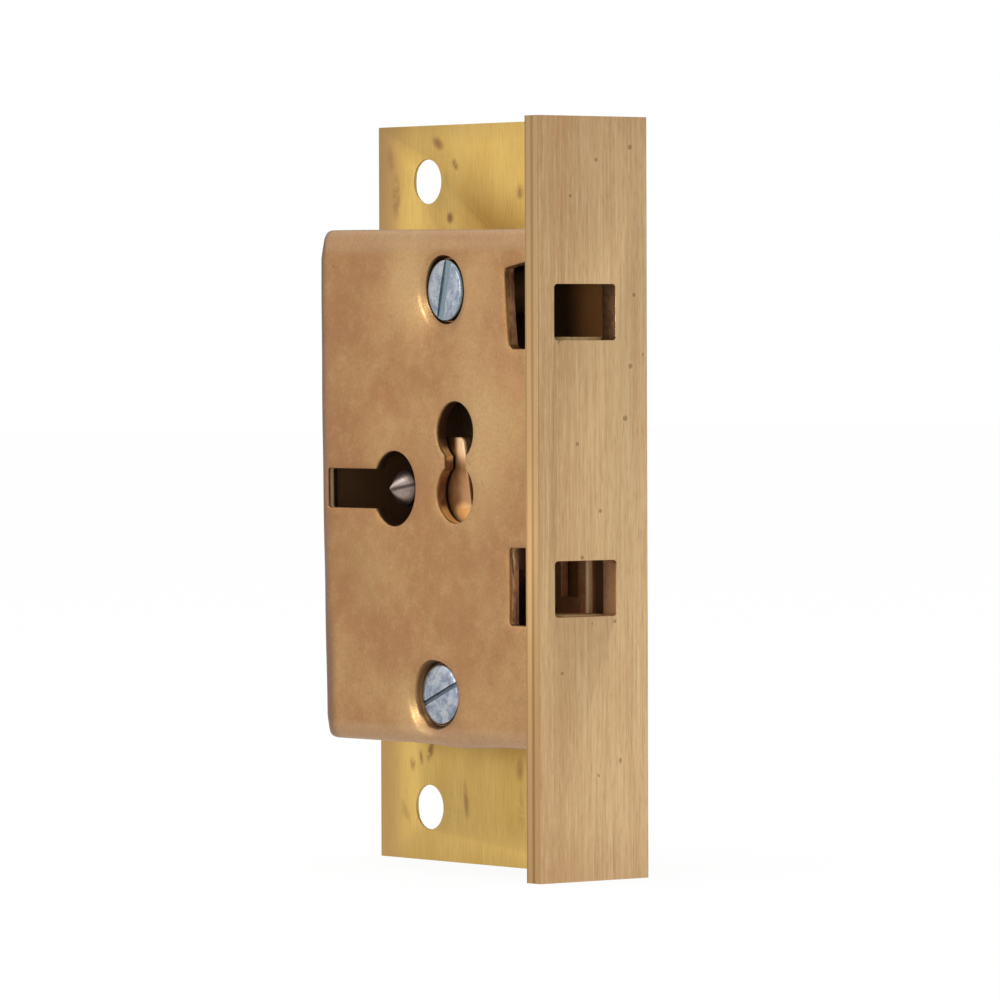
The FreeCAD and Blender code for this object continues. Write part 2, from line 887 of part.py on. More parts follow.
# Lever spacer and washer: rings on the pivot that set the levers' depth
def make_ring(name, start, end):
    body = rod(f"{name}_blank", "collar_width", "pivot_across", "pivot_up", start, end)
    hole = rod(f"{name}_hole", "pivot_width + 2 * running_gap", "pivot_across", "pivot_up", start, end)
    return cut(name, body, hole)


# Lever stop: the pin that both levers rest against
def make_lever_stop():
    tail = rod("lever_stop_tail", "stop_tail", "stop_across", "stop_up", "-plate_thickness", "0")
    stem = rod("lever_stop_stem", "stop_width", "stop_across", "stop_up", "0", "front_lever_front + front_lever_raise")
    return fuse("lever_stop", [tail, stem])


heights = rivet_heights()
pieces = [
    make_selvedge(),
    make_back_plate(),
    make_cap(),
    make_drill_pin(),
    make_pillar("upper_pillar", "upper_pillar_width", *PILLARS[0]),
    make_pillar("lower_pillar", "pivot_width", *PILLARS[1]),
    make_cap_screw("cap_screw_upper", *PILLARS[0], "upper_slot_turn"),
    make_cap_screw("cap_screw_lower", *PILLARS[1], "lower_slot_turn"),
    make_bolt_plate(),
    make_bolt_head("bolt_head_upper", "head_upper_top", heights[:2]),
    make_bolt_head("bolt_head_lower", "head_lower_top", heights[2:]),
    make_bolt_rivets(),
    make_bolt_stump(),
    make_guide_stud("guide_stud_upper", "stud_upper"),
    make_guide_stud("guide_stud_lower", "stud_lower"),
    make_lever("front_lever", "front_lever_back", "front_lever_raise"),
    make_lever("rear_lever", "rear_lever_back"),
    make_spring("front_lever_spring", "front_lever_back + front_lever_raise"),
    make_spring("rear_lever_spring", "rear_lever_back"),
    make_ring("lever_spacer", "0", "rear_lever_back - washer_gap"),
    make_ring("lever_washer", "rear_lever_front + washer_gap", "front_lever_back - washer_gap"),
    make_lever_stop(),
]
doc.recompute()

for thing in doc.Objects:
    if "Invalid" in thing.State or "Error" in thing.State:
        raise RuntimeError(f"{thing.Name} is {thing.State}")
for piece in pieces:
    if piece.Shape.isNull() or not piece.Shape.isValid():
        raise RuntimeError(f"{piece.Label} has no valid shape")

os.makedirs("parts", exist_ok=True)
for piece in pieces:
    piece.Shape.exportStep(f"parts/{piece.Label}.step")
    box = piece.Shape.BoundBox
    print(
        f"{piece.Label}: {len(piece.Shape.Solids)} solid, {piece.Shape.Volume:.2f} mm3,"
        f" x {box.XMin:.2f} {box.XMax:.2f}, y {box.YMin:.2f} {box.YMax:.2f},"
        f" z {box.ZMin:.2f} {box.ZMax:.2f}"
    )
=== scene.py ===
import json
import math
from functools import partialmethod

import bmesh
import bpy
import numpy as np
from mathutils import Matrix, Vector
from mathutils.geometry import delaunay_2d_cdt


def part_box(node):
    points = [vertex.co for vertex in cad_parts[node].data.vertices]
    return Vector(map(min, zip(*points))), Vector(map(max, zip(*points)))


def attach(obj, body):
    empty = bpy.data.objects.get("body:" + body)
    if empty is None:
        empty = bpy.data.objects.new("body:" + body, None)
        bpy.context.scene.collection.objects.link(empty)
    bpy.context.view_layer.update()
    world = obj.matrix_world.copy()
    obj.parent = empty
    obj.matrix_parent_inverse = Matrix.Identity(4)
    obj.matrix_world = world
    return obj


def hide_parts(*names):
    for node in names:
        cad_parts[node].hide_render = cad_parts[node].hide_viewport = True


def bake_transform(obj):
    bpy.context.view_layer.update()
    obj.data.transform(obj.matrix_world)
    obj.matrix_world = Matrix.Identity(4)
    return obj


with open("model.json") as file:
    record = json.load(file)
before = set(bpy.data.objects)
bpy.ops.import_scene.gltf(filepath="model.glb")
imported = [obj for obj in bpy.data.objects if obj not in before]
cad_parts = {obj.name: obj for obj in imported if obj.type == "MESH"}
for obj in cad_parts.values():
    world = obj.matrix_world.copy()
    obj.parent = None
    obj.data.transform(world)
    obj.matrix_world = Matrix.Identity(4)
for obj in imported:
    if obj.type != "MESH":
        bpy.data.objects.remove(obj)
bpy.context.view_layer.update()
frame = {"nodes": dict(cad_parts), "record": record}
NODES = frame["nodes"]
NODE_SLOT = {s["node"]: s["material_slot"] for s in frame["record"]["subparts"]}
NODE_BODY = {n: body for body, names in frame["record"]["behaviour"]["bodies"].items() for n in names}

# Lengths here are in millimetres along the frame's axes, and MM turns them into metres.
# +X points out of the selvedge, -Y out of the cap towards the key and +Z up along the lock.
MM = 0.001


def low(node, axis):
    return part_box(node)[0]["xyz".index(axis)] / MM


def high(node, axis):
    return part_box(node)[1]["xyz".index(axis)] / MM


def middle(node, axis):
    return (low(node, axis) + high(node, axis)) / 2


FRONT = low("cap", "y")
CAP_LEFT, CAP_TOP, CAP_BOTTOM = low("cap", "x"), high("cap", "z"), low("cap", "z")
INNER, OUTER, SIDE = low("selvedge", "x"), high("selvedge", "x"), low("selvedge", "y")
FLOOR = low("selvedge", "z")
BLADE_FRONT = low("front_lever", "y")
BOLT_SIDE, BOLT_FRONT = high("bolt_plate", "x"), low("bolt_plate", "y")
SCREWS = {end: tuple(middle(f"cap_screw_{end}", axis) for axis in "xz") for end in ("upper", "lower")}

# The cap's sheet. Each fold has a reach outwards and a reach back, CORNER rounds the corner between two,
# LEAST_BEND is the inner skin's tightest bend and PLATE_GAP the air between the walls and the plate. The flat
# front ends at the FLAT values and, beside the selvedge, at CAP_RIGHT.
WALL = 1.2
LEFT_FOLD = (2.15, 2.15)
TOP_FOLD = (1.9, 1.05)
BOTTOM_FOLD = (1.45, 1.0)
CORNER = 0.5
LEAST_BEND = 0.15
PLATE_GAP = 0.01
FLAT_LEFT = CAP_LEFT + LEFT_FOLD[0]
FLAT_TOP, FLAT_BOTTOM = CAP_TOP - TOP_FOLD[0], CAP_BOTTOM + BOTTOM_FOLD[0]
CAP_RIGHT = INNER - 0.03

# The cap's left side stands out, tilts and bows a little, and its bottom wall bulges
LEFT_SHIFT, LEFT_TILT, LEFT_BOW = 0.35, 0.0168, 0.00033
BULGE_X, BULGE_HALF, BULGE_HEIGHT = 10.5, 4.5, 0.28

# The cap's openings, their front edges eased by EDGE: the keyhole's centre and half sizes, its slot's left
# end, top, bottom and corners, the window's lobes, their radius and its neck's half width, and the notches
EDGE = 0.16
KEYHOLE = (0.15, -0.02, 3.56, 3.8)
SLOT = (-10.62, 1.93, -2.05)
SLOT_CORNER = 0.15
LOBES = ((10.35, 5.85), (10.35, -0.35))
LOBE = 3.0
NECK = 1.7
LOWER_NOTCH = [
    (CAP_RIGHT, -13.35), (19.5, -13.35), (19.32, -13.22), (19.25, -13.0), (19.22, -5.9), (19.4, -5.68),
    (CAP_RIGHT, -5.62),
]
UPPER_NOTCH = [
    (CAP_RIGHT, 14.12), (19.85, 14.12), (19.45, 14.25), (19.2, 14.55), (19.1, 15.0), (18.55, 21.7),
    (18.62, 22.05), (18.95, 22.2), (CAP_RIGHT, 22.75),
]

# Each cap screw's seat: the dish's depth, floor and rim radius and how much wider it opens to the right, the
# soft hollow's depth and spread, how deep the head's face lies, its slot's turn, width and cut, and its lean.
# HOLLOW_X and HOLLOW_Z lead from the dish to the middle of its hollow.
SEATS = {
    "upper": {
        "depth": 1.1, "floor": 3.24, "rim": 3.44, "open": 0.0, "soft": 0.46, "spread": 4.0,
        "face": 0.17, "turn": 76, "width": 1.25, "cut": 0.13, "lean": -4,
    },
    "lower": {
        "depth": 1.2, "floor": 3.16, "rim": 3.52, "open": 0.75, "soft": 0.38, "spread": 3.5,
        "face": 0.87, "turn": 22, "width": 0.50, "cut": 0.22, "lean": -1,
    },
}
HOLLOW_X, HOLLOW_Z = -1.3, -1.1

# Each dish's rounded lip: its depth, its reach past the rim, the width it falls over, and what both gain at
# the lower left
LIP, LIP_REACH, LIP_FALL, LIP_MORE = 0.20, 0.45, 0.55, 0.5

# The mortises lie within this height above and below the drill pin
MORTISE_REACH = 25.0


# Materials

class Graph:
    """Shader nodes and their links, with short ways to make and join them."""

    def __init__(self, tree):
        self.nodes = tree.nodes
        self.links = tree.links

    def put(self, value, socket):
        """Gives a socket another node's output, a colour or a value of its own kind."""
        if isinstance(value, bpy.types.NodeSocket):
            self.links.new(value, socket)
        else:
            socket.default_value = (*value, 1.0) if socket.type == "RGBA" else value

    def new(self, kind, inputs, output=0, **settings):
        """The output of a new node with these settings and inputs."""
        node = self.nodes.new("ShaderNode" + kind)
        for name, value in settings.items():
            setattr(node, name, value)
        for name, value in inputs.items():
            self.put(value, node.inputs[name])
        return node.outputs[output]

    def math(self, kind, first, *others):
        """The values worked together from left to right, or the first alone."""
        for other in others or (0.0,):
            first = self.new("Math", {0: first, 1: other}, operation=kind)
        return first

    plus = partialmethod(math, "ADD")
    minus = partialmethod(math, "SUBTRACT")
    times = partialmethod(math, "MULTIPLY")
    most = partialmethod(math, "MAXIMUM")

    def ramp(self, value, start, end, first, last):
        """The number first up to start and last from end on, smooth between."""
        inputs = {"Value": value, "From Min": start, "From Max": end, "To Min": first, "To Max": last}
        return self.new("MapRange", inputs, interpolation_type="SMOOTHSTEP")

    def rise(self, value, start, end):
        """0 below start and 1 above end, smooth between. With start above end it falls instead."""
        if start > end:
            return self.ramp(value, end, start, 1.0, 0.0)
        return self.ramp(value, start, end, 0.0, 1.0)

    def mixed(self, share, one, two):
        """The shader one, with that share of the shader two."""
        return self.new("MixShader", {0: share, 1: one, 2: two})


class Metal(Graph):
    """Builds one metal from nodes. Places are the piece's own coordinates, in millimetres."""

    def __init__(self, name):
        self.material = bpy.data.materials.new(name)
        self.material.use_nodes = True
        super().__init__(self.material.node_tree)
        self.place = self.scaled(self.new("TexCoord", {}, "Object"), (1 / MM, 1 / MM, 1 / MM))
        parts = self.nodes.new("ShaderNodeSeparateXYZ")
        self.links.new(self.place, parts.inputs[0])
        self.x, self.y, self.z = parts.outputs

    def scaled(self, vector, scale):
        return self.new("Mapping", {"Vector": vector, "Scale": scale})

    def noise(self, size, detail, rough, stretch=(1, 1, 1), warp=0.0, seed=0.0):
        """Noise around 0.5, with features of about size millimetres, longer where stretch is above 1."""
        place = self.scaled(self.place, tuple(1 / (size * s) for s in stretch))
        inputs = {"Vector": place, "W": seed, "Scale": 1.0, "Detail": detail, "Roughness": rough}
        return self.new("TexNoise", {**inputs, "Distortion": warp}, "Fac", noise_dimensions="4D")

    def blend(self, amount, under, over):
        """The colour under, covered by the colour over as far as amount says."""
        return self.new("Mix", {0: amount, 6: under, 7: over}, 2, data_type="RGBA")

    def coated(self, tone, *coats):
        """The colour tone under a row of coats, each with its mask, its strength and its colour."""
        for mask, strength, colour in coats:
            tone = self.blend(self.times(mask, strength), tone, colour)
        return tone

    def spot(self, x, z, radius, fade, narrow=1.0, turn=0.0, across=None):
        """1 in an ellipse round (x, z), its width narrowed, and 0 beyond the fade, as seen from the front."""
        dx = self.minus(across or self.x, x)
        dz = self.minus(self.z, z)
        cosine, sine = math.cos(turn), math.sin(turn)
        u = self.plus(self.times(dx, cosine / narrow), self.times(dz, sine / narrow))
        v = self.minus(self.times(dz, cosine), self.times(dx, sine))
        away = self.math("SQRT", self.plus(self.times(u, u), self.times(v, v)))
        return self.rise(away, radius + fade, radius)

    def at_screws(self, aside, above, radius, fade):
        """1 in a round spot beside each of the cap's screws."""
        return self.most(*(self.spot(x + aside, z + above, radius, fade) for x, z in SCREWS.values()))

    def within(self, margin, fade=0.1):
        """1 inside the cap's walls, a margin away from their outer faces."""
        return self.times(
            self.rise(self.y, FRONT + WALL - fade, FRONT + WALL + fade),
            self.rise(self.x, CAP_LEFT + margin, CAP_LEFT + margin + fade),
            self.rise(self.z, CAP_TOP - margin, CAP_TOP - margin - fade),
            self.rise(self.z, CAP_BOTTOM + margin, CAP_BOTTOM + margin + fade),
        )

    def bump(self, height, depth, under=None):
        """Relief of depth millimetres, on top of the relief under it."""
        inputs = {"Height": height, "Strength": 1.0, "Distance": depth * MM}
        return self.new("Bump", {**inputs, "Normal": under} if under else inputs)

    def finish(self, colour, rough, relief, metal=1.0):
        shader = self.nodes["Principled BSDF"]
        inputs = {"Metallic": metal, "Base Color": colour, "Roughness": rough, "Normal": relief}
        for name, value in inputs.items():
            self.put(value, shader.inputs[name])
        return self.material


def cap_brass():
    """Pressed sheet, coppery brown, darker at the lower left and yellower round the dishes and the window.
    Painted reflections lighten the top and bottom folds, painted shade darkens the left fold, its lower
    corner and the dishes, the inner face is darker from tarnish and painted shade, and the openings' walls
    carry painted light and shade.
    """
    t = Metal("cap_brass")
    cloud = t.noise(9.0, 3, 0.55, warp=0.4)
    small = t.noise(1.4, 4, 0.6, seed=3.0)
    grain = t.noise(0.34, 3, 0.65, seed=5.0)
    # Darker and browner towards the lower left
    darker_low_left = t.times(t.rise(t.x, 1.0, -9.0), t.rise(t.z, -18.0, -8.0))
    # Yellower patches round the dishes and the window
    yellower = t.most(
        t.spot(3.2, 20.5, 1.5, 6.5, 0.8),
        t.spot(14.5, 5.0, 2.0, 11.0, 0.7),
        t.times(t.spot(3.0, -21.5, 0.5, 5.0), 0.8),
        t.times(t.spot(14.5, 20.5, 1.0, 4.5), 0.6),
    )
    red = t.rise(t.noise(4.5, 2, 0.5, seed=9.0), 0.54, 0.72)
    # Painted reflections: the top and bottom folds are lighter
    top = t.rise(t.z, CAP_TOP - 2.6, CAP_TOP - 1.4)
    bottom = t.rise(t.z, CAP_BOTTOM + 2.2, CAP_BOTTOM + 0.8)
    from_edge = t.plus(t.x, LEFT_SHIFT, t.times(t.z, LEFT_TILT))
    forward = t.rise(t.y, FRONT + 4.5, FRONT + 2.3)
    # Painted shade: the left fold is darker, and its lower corner darker still
    left = t.times(t.rise(from_edge, CAP_LEFT + 2.9, CAP_LEFT + 1.3), forward)
    corner = t.times(t.rise(from_edge, CAP_LEFT + 3.6, CAP_LEFT + 2.2), t.rise(t.z, -8.0, -18.0), forward)
    # Painted shade: darker deep in the dishes
    dishes = t.times(t.at_screws(0.2, 0.0, 3.7, 0.3), t.rise(t.y, FRONT + 0.28, FRONT + 0.75))
    pits = t.rise(t.noise(0.8, 2, 0.5, seed=14.0), 0.71, 0.79)
    walls = opening_walls(t)
    # The inner face is darker and duller: tarnish and painted shade
    inner = t.within(0.7)
    tone = t.coated(
        t.blend(t.rise(cloud, 0.36, 0.66), (0.348, 0.174, 0.072), (0.42, 0.242, 0.102)),
        (darker_low_left, 0.35, (0.255, 0.118, 0.046)),
        (t.rise(small, 0.48, 0.72), 0.28, (0.50, 0.32, 0.155)),
        (t.rise(small, 0.50, 0.30), 0.25, (0.28, 0.145, 0.06)),
        (yellower, 0.65, (0.50, 0.325, 0.148)),
        (red, 0.26, (0.39, 0.168, 0.074)),
        (top, 0.5, (0.40, 0.265, 0.142)),
        (bottom, 0.45, (0.50, 0.335, 0.195)),
        (left, 0.75, (0.205, 0.122, 0.088)),
        (corner, 0.6, (0.15, 0.078, 0.048)),
        (t.rise(grain, 0.45, 0.72), 0.28, (0.25, 0.135, 0.058)),
        (t.rise(grain, 0.47, 0.28), 0.20, (0.55, 0.36, 0.185)),
        (dishes, 0.85, (0.19, 0.095, 0.042)),
        (pits, 0.45, (0.18, 0.09, 0.04)),
        # The openings' walls: patches with painted light and shade
        (walls, 0.97, wall_patches_and_painted_light(t)),
        (inner, 0.9, (0.26, 0.13, 0.055)),
    )
    smoother = t.times(t.at_screws(-2.7, -1.8, 1.0, 2.0), 0.12)
    rough = t.minus(t.plus(t.times(cloud, 0.10), 0.31, t.times(grain, 0.10)), smoother)
    relief = t.bump(t.noise(2.6, 3, 0.5, seed=21.0), 0.03)
    metal = t.minus(1.0, t.most(t.times(inner, 0.6), t.times(walls, 0.4)))
    return t.finish(tone, rough, t.bump(grain, 0.012, relief), metal)


def wall_patches_and_painted_light(t):
    """The openings' cut edges, in patches, with painted light and shade: painted gold highlights low in the
    window and at its neck, a painted glint high in the lower notch and at the keyhole slot's left end, and
    painted shade darkening the notches towards the back, the top and back edge of the window and the
    keyhole's walls.
    """
    patches = t.rise(t.noise(0.55, 3, 0.65, stretch=(1, 1, 4.5), seed=31.0), 0.36, 0.66)
    # Painted glint: the lower notch's wall is bright near its top
    pale = t.blend(t.rise(t.z, -9.5, -6.8), (0.60, 0.32, 0.13), (1.0, 0.70, 0.36))
    light = t.blend(t.rise(t.z, 0.0, -3.0), (0.42, 0.225, 0.068), pale)
    # Painted shade: the notch walls are darker towards the back
    light = t.blend(t.rise(t.y, FRONT + 0.45, FRONT + 1.0), light, (0.30, 0.135, 0.06))
    notch = t.blend(patches, (0.14, 0.06, 0.024), light)
    window = t.blend(patches, (0.15, 0.055, 0.022), (0.34, 0.15, 0.055))
    # Painted highlights: gold low in the window and in a band at its neck
    neck = t.times(t.rise(t.z, 4.5, 3.9), t.rise(t.z, 2.7, 3.2))
    window = t.blend(t.times(t.most(t.rise(t.z, -1.4, -2.2), neck), 0.85), window, (0.90, 0.50, 0.17))
    # Painted shade: the top of the window is near black, with a painted shadow along the wall's back edge
    window = t.blend(t.rise(t.z, 4.2, 5.4), window, (0.06, 0.022, 0.008))
    window = t.blend(t.rise(t.y, FRONT + 1.02, FRONT + 1.18), window, (0.03, 0.01, 0.003))
    wall = t.blend(t.times(t.rise(t.x, 16.0, 15.5), t.rise(t.x, 5.0, 5.5)), notch, window)
    # Painted shade: the keyhole's walls are near black
    wall = t.blend(t.rise(t.x, 5.5, 5.0), wall, (0.028, 0.011, 0.006))
    # Painted highlight: the keyhole slot's left end is bright
    painted_slot_glint = t.times(t.rise(t.x, -10.2, -10.5), t.rise(t.y, FRONT + 0.82, FRONT + 0.55))
    return t.blend(painted_slot_glint, wall, (0.90, 0.62, 0.34))


def opening_walls(t):
    """1 on the walls of the keyhole, window and notches, and on the sheet's inner face behind them."""
    sunk = t.rise(t.y, FRONT + EDGE, FRONT + 0.42)
    across = t.rise(t.x, CAP_LEFT + 1.45, CAP_LEFT + 1.6)
    up = t.times(t.rise(t.z, CAP_BOTTOM + 2.0, CAP_BOTTOM + 2.3), t.rise(t.z, CAP_TOP - 2.3, CAP_TOP - 2.6))
    away = [t.minus(1.0, t.spot(*centre, 6.6, 0.4)) for centre in SCREWS.values()]
    return t.times(sunk, across, up, *away)


# Dark pits on the selvedge's face: y, z and radius
PITS = (
    (-0.2, 34.2, 0.20), (-4.5, 32.9, 0.14), (-7.8, 29.3, 0.12), (0.3, 19.5, 0.14), (-0.2, 12.4, 0.20),
    (-0.9, 7.2, 0.22), (-2.3, -13.0, 0.14), (-6.4, -6.6, 0.12), (-4.1, -2.0, 0.12), (-9.0, -18.0, 0.12),
)

# Dark lines along the selvedge's narrow side: distance from its outer face, half width and strength
SIDE_LINES = ((0.98, 0.30, 0.60), (2.02, 0.22, 0.45))


def selvedge_brass():
    """Thick drawn strip, linished along its length, with small pits, its narrow side darker with painted
    shade, most towards the top, and tarnished inside the mortises, with painted shade in the upper one and
    painted light deeper in the lower one.
    """
    t = Metal("selvedge_brass")
    fine = t.noise(0.18, 2, 0.6, stretch=(1, 1, 42))
    band = t.noise(0.62, 3, 0.6, stretch=(1, 1, 34), seed=2.0)
    broad = t.noise(6.0, 2, 0.5, stretch=(1, 1, 3), seed=4.0)
    grit = t.noise(0.22, 2, 0.6, stretch=(1, 1, 8), seed=19.0)
    height = t.math("ABSOLUTE", t.z)
    warm = t.times(t.rise(t.y, -10.6, -9.8), t.rise(t.y, -8.0, -8.7), t.rise(t.z, 17.0, 27.0))
    specks = t.rise(t.noise(1.0, 1, 0.4, stretch=(1, 1, 1.4), seed=8.0), 0.77, 0.80)
    specks = t.most(specks, *(t.spot(y, z, radius, 0.12, across=t.y) for y, z, radius in PITS))
    side = t.rise(t.y, SIDE + 0.16, SIDE + 0.04)
    tone = t.coated(
        t.blend(t.rise(broad, 0.35, 0.68), (0.56, 0.35, 0.172), (0.63, 0.415, 0.21)),
        (t.rise(t.y, -9.5, -3.0), 0.6, (0.69, 0.475, 0.25)),
        (t.rise(height, 33.0, 38.0), 0.35, (0.50, 0.29, 0.138)),
        (warm, 0.35, (0.52, 0.27, 0.125)),
        (t.rise(band, 0.52, 0.68), 0.30, (0.50, 0.29, 0.14)),
        (t.rise(band, 0.48, 0.30), 0.28, (0.72, 0.54, 0.30)),
        (t.rise(fine, 0.50, 0.68), 0.34, (0.41, 0.245, 0.118)),
        (t.rise(fine, 0.48, 0.32), 0.30, (0.80, 0.60, 0.35)),
        (t.rise(grit, 0.52, 0.70), 0.34, (0.40, 0.235, 0.115)),
        (t.rise(grit, 0.46, 0.30), 0.26, (0.78, 0.60, 0.36)),
        (specks, 0.5, (0.17, 0.085, 0.04)),
        # Painted shade on the narrow side, darker towards the top
        (side, 0.85, t.blend(t.rise(t.z, -6.0, 4.0), (0.45, 0.265, 0.115), (0.355, 0.22, 0.100))),
    )
    for off, half, strength in SIDE_LINES:
        line = t.rise(t.math("ABSOLUTE", t.minus(t.x, OUTER - off)), half, half * 0.4)
        tone = t.blend(t.times(line, side, strength), tone, (0.19, 0.115, 0.04))
    inner = t.times(
        t.rise(t.x, OUTER - 0.02, OUTER - 0.12),
        t.rise(t.y, SIDE + 0.3, SIDE + 0.6),
        t.rise(t.y, 0.0, -0.6),
        t.rise(height, MORTISE_REACH, MORTISE_REACH - 1),
    )
    stain = t.rise(t.noise(0.8, 2, 0.6, seed=12.0), 0.35, 0.65)
    # Painted shade darkens the upper mortise; painted light brightens the lower one deeper in
    upper = t.blend(stain, (0.12, 0.05, 0.02), (0.22, 0.105, 0.045))
    lower = t.blend(t.rise(t.x, OUTER - 0.4, OUTER - 1.4), (0.42, 0.20, 0.09), (0.74, 0.45, 0.24))
    lower = t.blend(t.times(stain, 0.5), lower, (0.50, 0.26, 0.115))
    tone = t.blend(t.times(inner, 0.92), tone, t.blend(t.rise(t.z, 2.0, 6.0), lower, upper))
    rough = t.plus(t.times(band, 0.14), 0.30, t.times(inner, 0.25))
    relief = t.bump(band, 0.012, t.bump(t.minus(1.0, specks), 0.05))
    metal = t.minus(1.0, t.times(inner, 0.25))
    return t.finish(tone, rough, t.bump(fine, 0.009, relief), metal)


# Brown marks on the back plate: x, z, inner radius, fade, narrowing, turn and strength
SMUDGES = (
    (-7.4, 35.3, 0.15, 0.7, 1.7, -0.5, 0.75),
    (-4.5, 33.1, 0.15, 0.8, 0.6, 0.6, 0.80),
    (-5.4, 27.6, 0.20, 0.6, 0.9, 0.0, 0.90),
    (6.3, 30.1, 0.20, 0.9, 0.8, 0.0, 0.70),
    (-14.6, 30.0, 0.50, 2.6, 0.35, 0.0, 0.60),
    (-15.4, 33.6, 0.30, 1.6, 0.5, 0.3, 0.35),
    (-12.0, -29.0, 0.20, 0.9, 0.6, 0.3, 0.60),
    (-9.0, -27.4, 0.25, 1.4, 0.45, -0.4, 0.85),
    (-10.6, -28.2, 0.20, 0.9, 0.4, 0.2, 0.65),
    (-3.0, -32.4, 0.50, 2.4, 0.22, 0.1, 0.60),
    (6.0, -28.8, 0.25, 1.5, 0.5, 0.0, 0.55),
    (-13.3, -34.0, 0.30, 1.6, 0.4, 0.5, 0.30),
    (6.2, -33.0, 0.30, 2.6, 0.25, 0.0, 0.30),
)


def plate_brass():
    """Yellow rolled plate with brown marks. Where the cap covers it, it is dull and near black with painted
    shade, but orange with painted light near the selvedge, where the openings show it.
    """
    t = Metal("plate_brass")
    fine = t.noise(0.25, 3, 0.65, stretch=(1, 1, 12))
    broad = t.noise(6.0, 2, 0.5, stretch=(1, 1, 3), seed=4.0)
    streaks = t.rise(t.noise(1.6, 3, 0.6, warp=0.8, seed=7.0), 0.32, 0.50)
    marks = [(t.times(t.spot(*place), streaks), strength) for *place, strength in SMUDGES]
    # Under the cap: near black with painted shade, and orange with painted light near the selvedge, where the
    # openings show the plate
    inner = t.times(t.within(0.6), t.rise(t.y, 1.2, 0.6))
    shown = t.times(t.rise(t.x, 13.5, 17.5), t.most(t.rise(t.x, 18.6, 18.2), t.rise(t.z, 4.0, 8.0)))
    tone = t.coated(
        t.blend(t.rise(broad, 0.34, 0.68), (0.52, 0.335, 0.092), (0.58, 0.395, 0.118)),
        (t.rise(fine, 0.5, 0.70), 0.40, (0.38, 0.225, 0.075)),
        (t.rise(fine, 0.48, 0.32), 0.25, (0.68, 0.50, 0.18)),
        (t.rise(t.x, -12.8, -16.0), 0.6, (0.44, 0.25, 0.105)),
        *((*mark, (0.23, 0.105, 0.045)) for mark in marks),
        (inner, 0.9, t.blend(shown, (0.09, 0.036, 0.017), (0.68, 0.31, 0.100))),
    )
    rough = t.plus(t.times(broad, 0.10), 0.48)
    relief = t.bump(t.noise(3.0, 2, 0.5, seed=11.0), 0.02)
    metal = t.minus(1.0, t.times(inner, 0.6))
    return t.finish(tone, rough, t.bump(fine, 0.008, relief), metal)


def inner_brass(name, dark, light, dirt, grit):
    """Machined brass inside the case, tarnished in blotches, the posts near black with tarnish and painted
    shade, but clean where it shows on the plate's back.
    """
    t = Metal(name)
    cloud = t.noise(2.4, 3, 0.6, warp=0.5)
    fine = t.noise(0.12, 3, 0.7, stretch=(1, 1, 7), seed=3.0)
    tone = t.blend(t.rise(cloud, 0.35, 0.68), dark, light)
    tone = t.blend(t.times(t.rise(fine, 0.45, 0.75), grit), tone, dirt)
    tone = t.blend(t.rise(t.y, 1.2, 1.5), tone, t.blend(cloud, (0.42, 0.25, 0.08), (0.56, 0.37, 0.125)))
    rough = t.plus(t.times(cloud, 0.16), 0.36)
    return t.finish(tone, rough, t.bump(fine, 0.008), 0.45)


def bolt_brass():
    """The bolt's brass, tarnished like the plate behind it, with a painted highlight along its edge, and
    bright on its heads.
    """
    t = Metal("bolt_brass")
    cloud = t.noise(2.4, 3, 0.6, warp=0.5)
    fine = t.noise(0.12, 3, 0.7, stretch=(1, 1, 7), seed=3.0)
    # Painted highlight along the long edge that shows through the lower mortise
    edge = t.times(t.rise(t.x, BOLT_SIDE - 0.34, BOLT_SIDE - 0.28), t.rise(t.y, -0.30, -0.45))
    heads = t.rise(t.x, BOLT_SIDE + 0.1, BOLT_SIDE + 0.3)
    rolled = t.blend(t.rise(fine, 0.35, 0.70), (0.66, 0.45, 0.19), (0.46, 0.29, 0.115))
    tone = t.coated(
        t.blend(t.rise(cloud, 0.35, 0.68), (0.55, 0.25, 0.11), (0.68, 0.34, 0.155)),
        (t.rise(fine, 0.45, 0.75), 0.35, (0.30, 0.13, 0.055)),
        (edge, 0.95, (1.0, 0.66, 0.36)),
    )
    tone = t.blend(heads, tone, rolled)
    rough = t.plus(t.times(cloud, 0.16), 0.36)
    metal = t.minus(0.45, t.times(edge, 0.40))
    return t.finish(tone, rough, t.bump(fine, 0.008), metal)


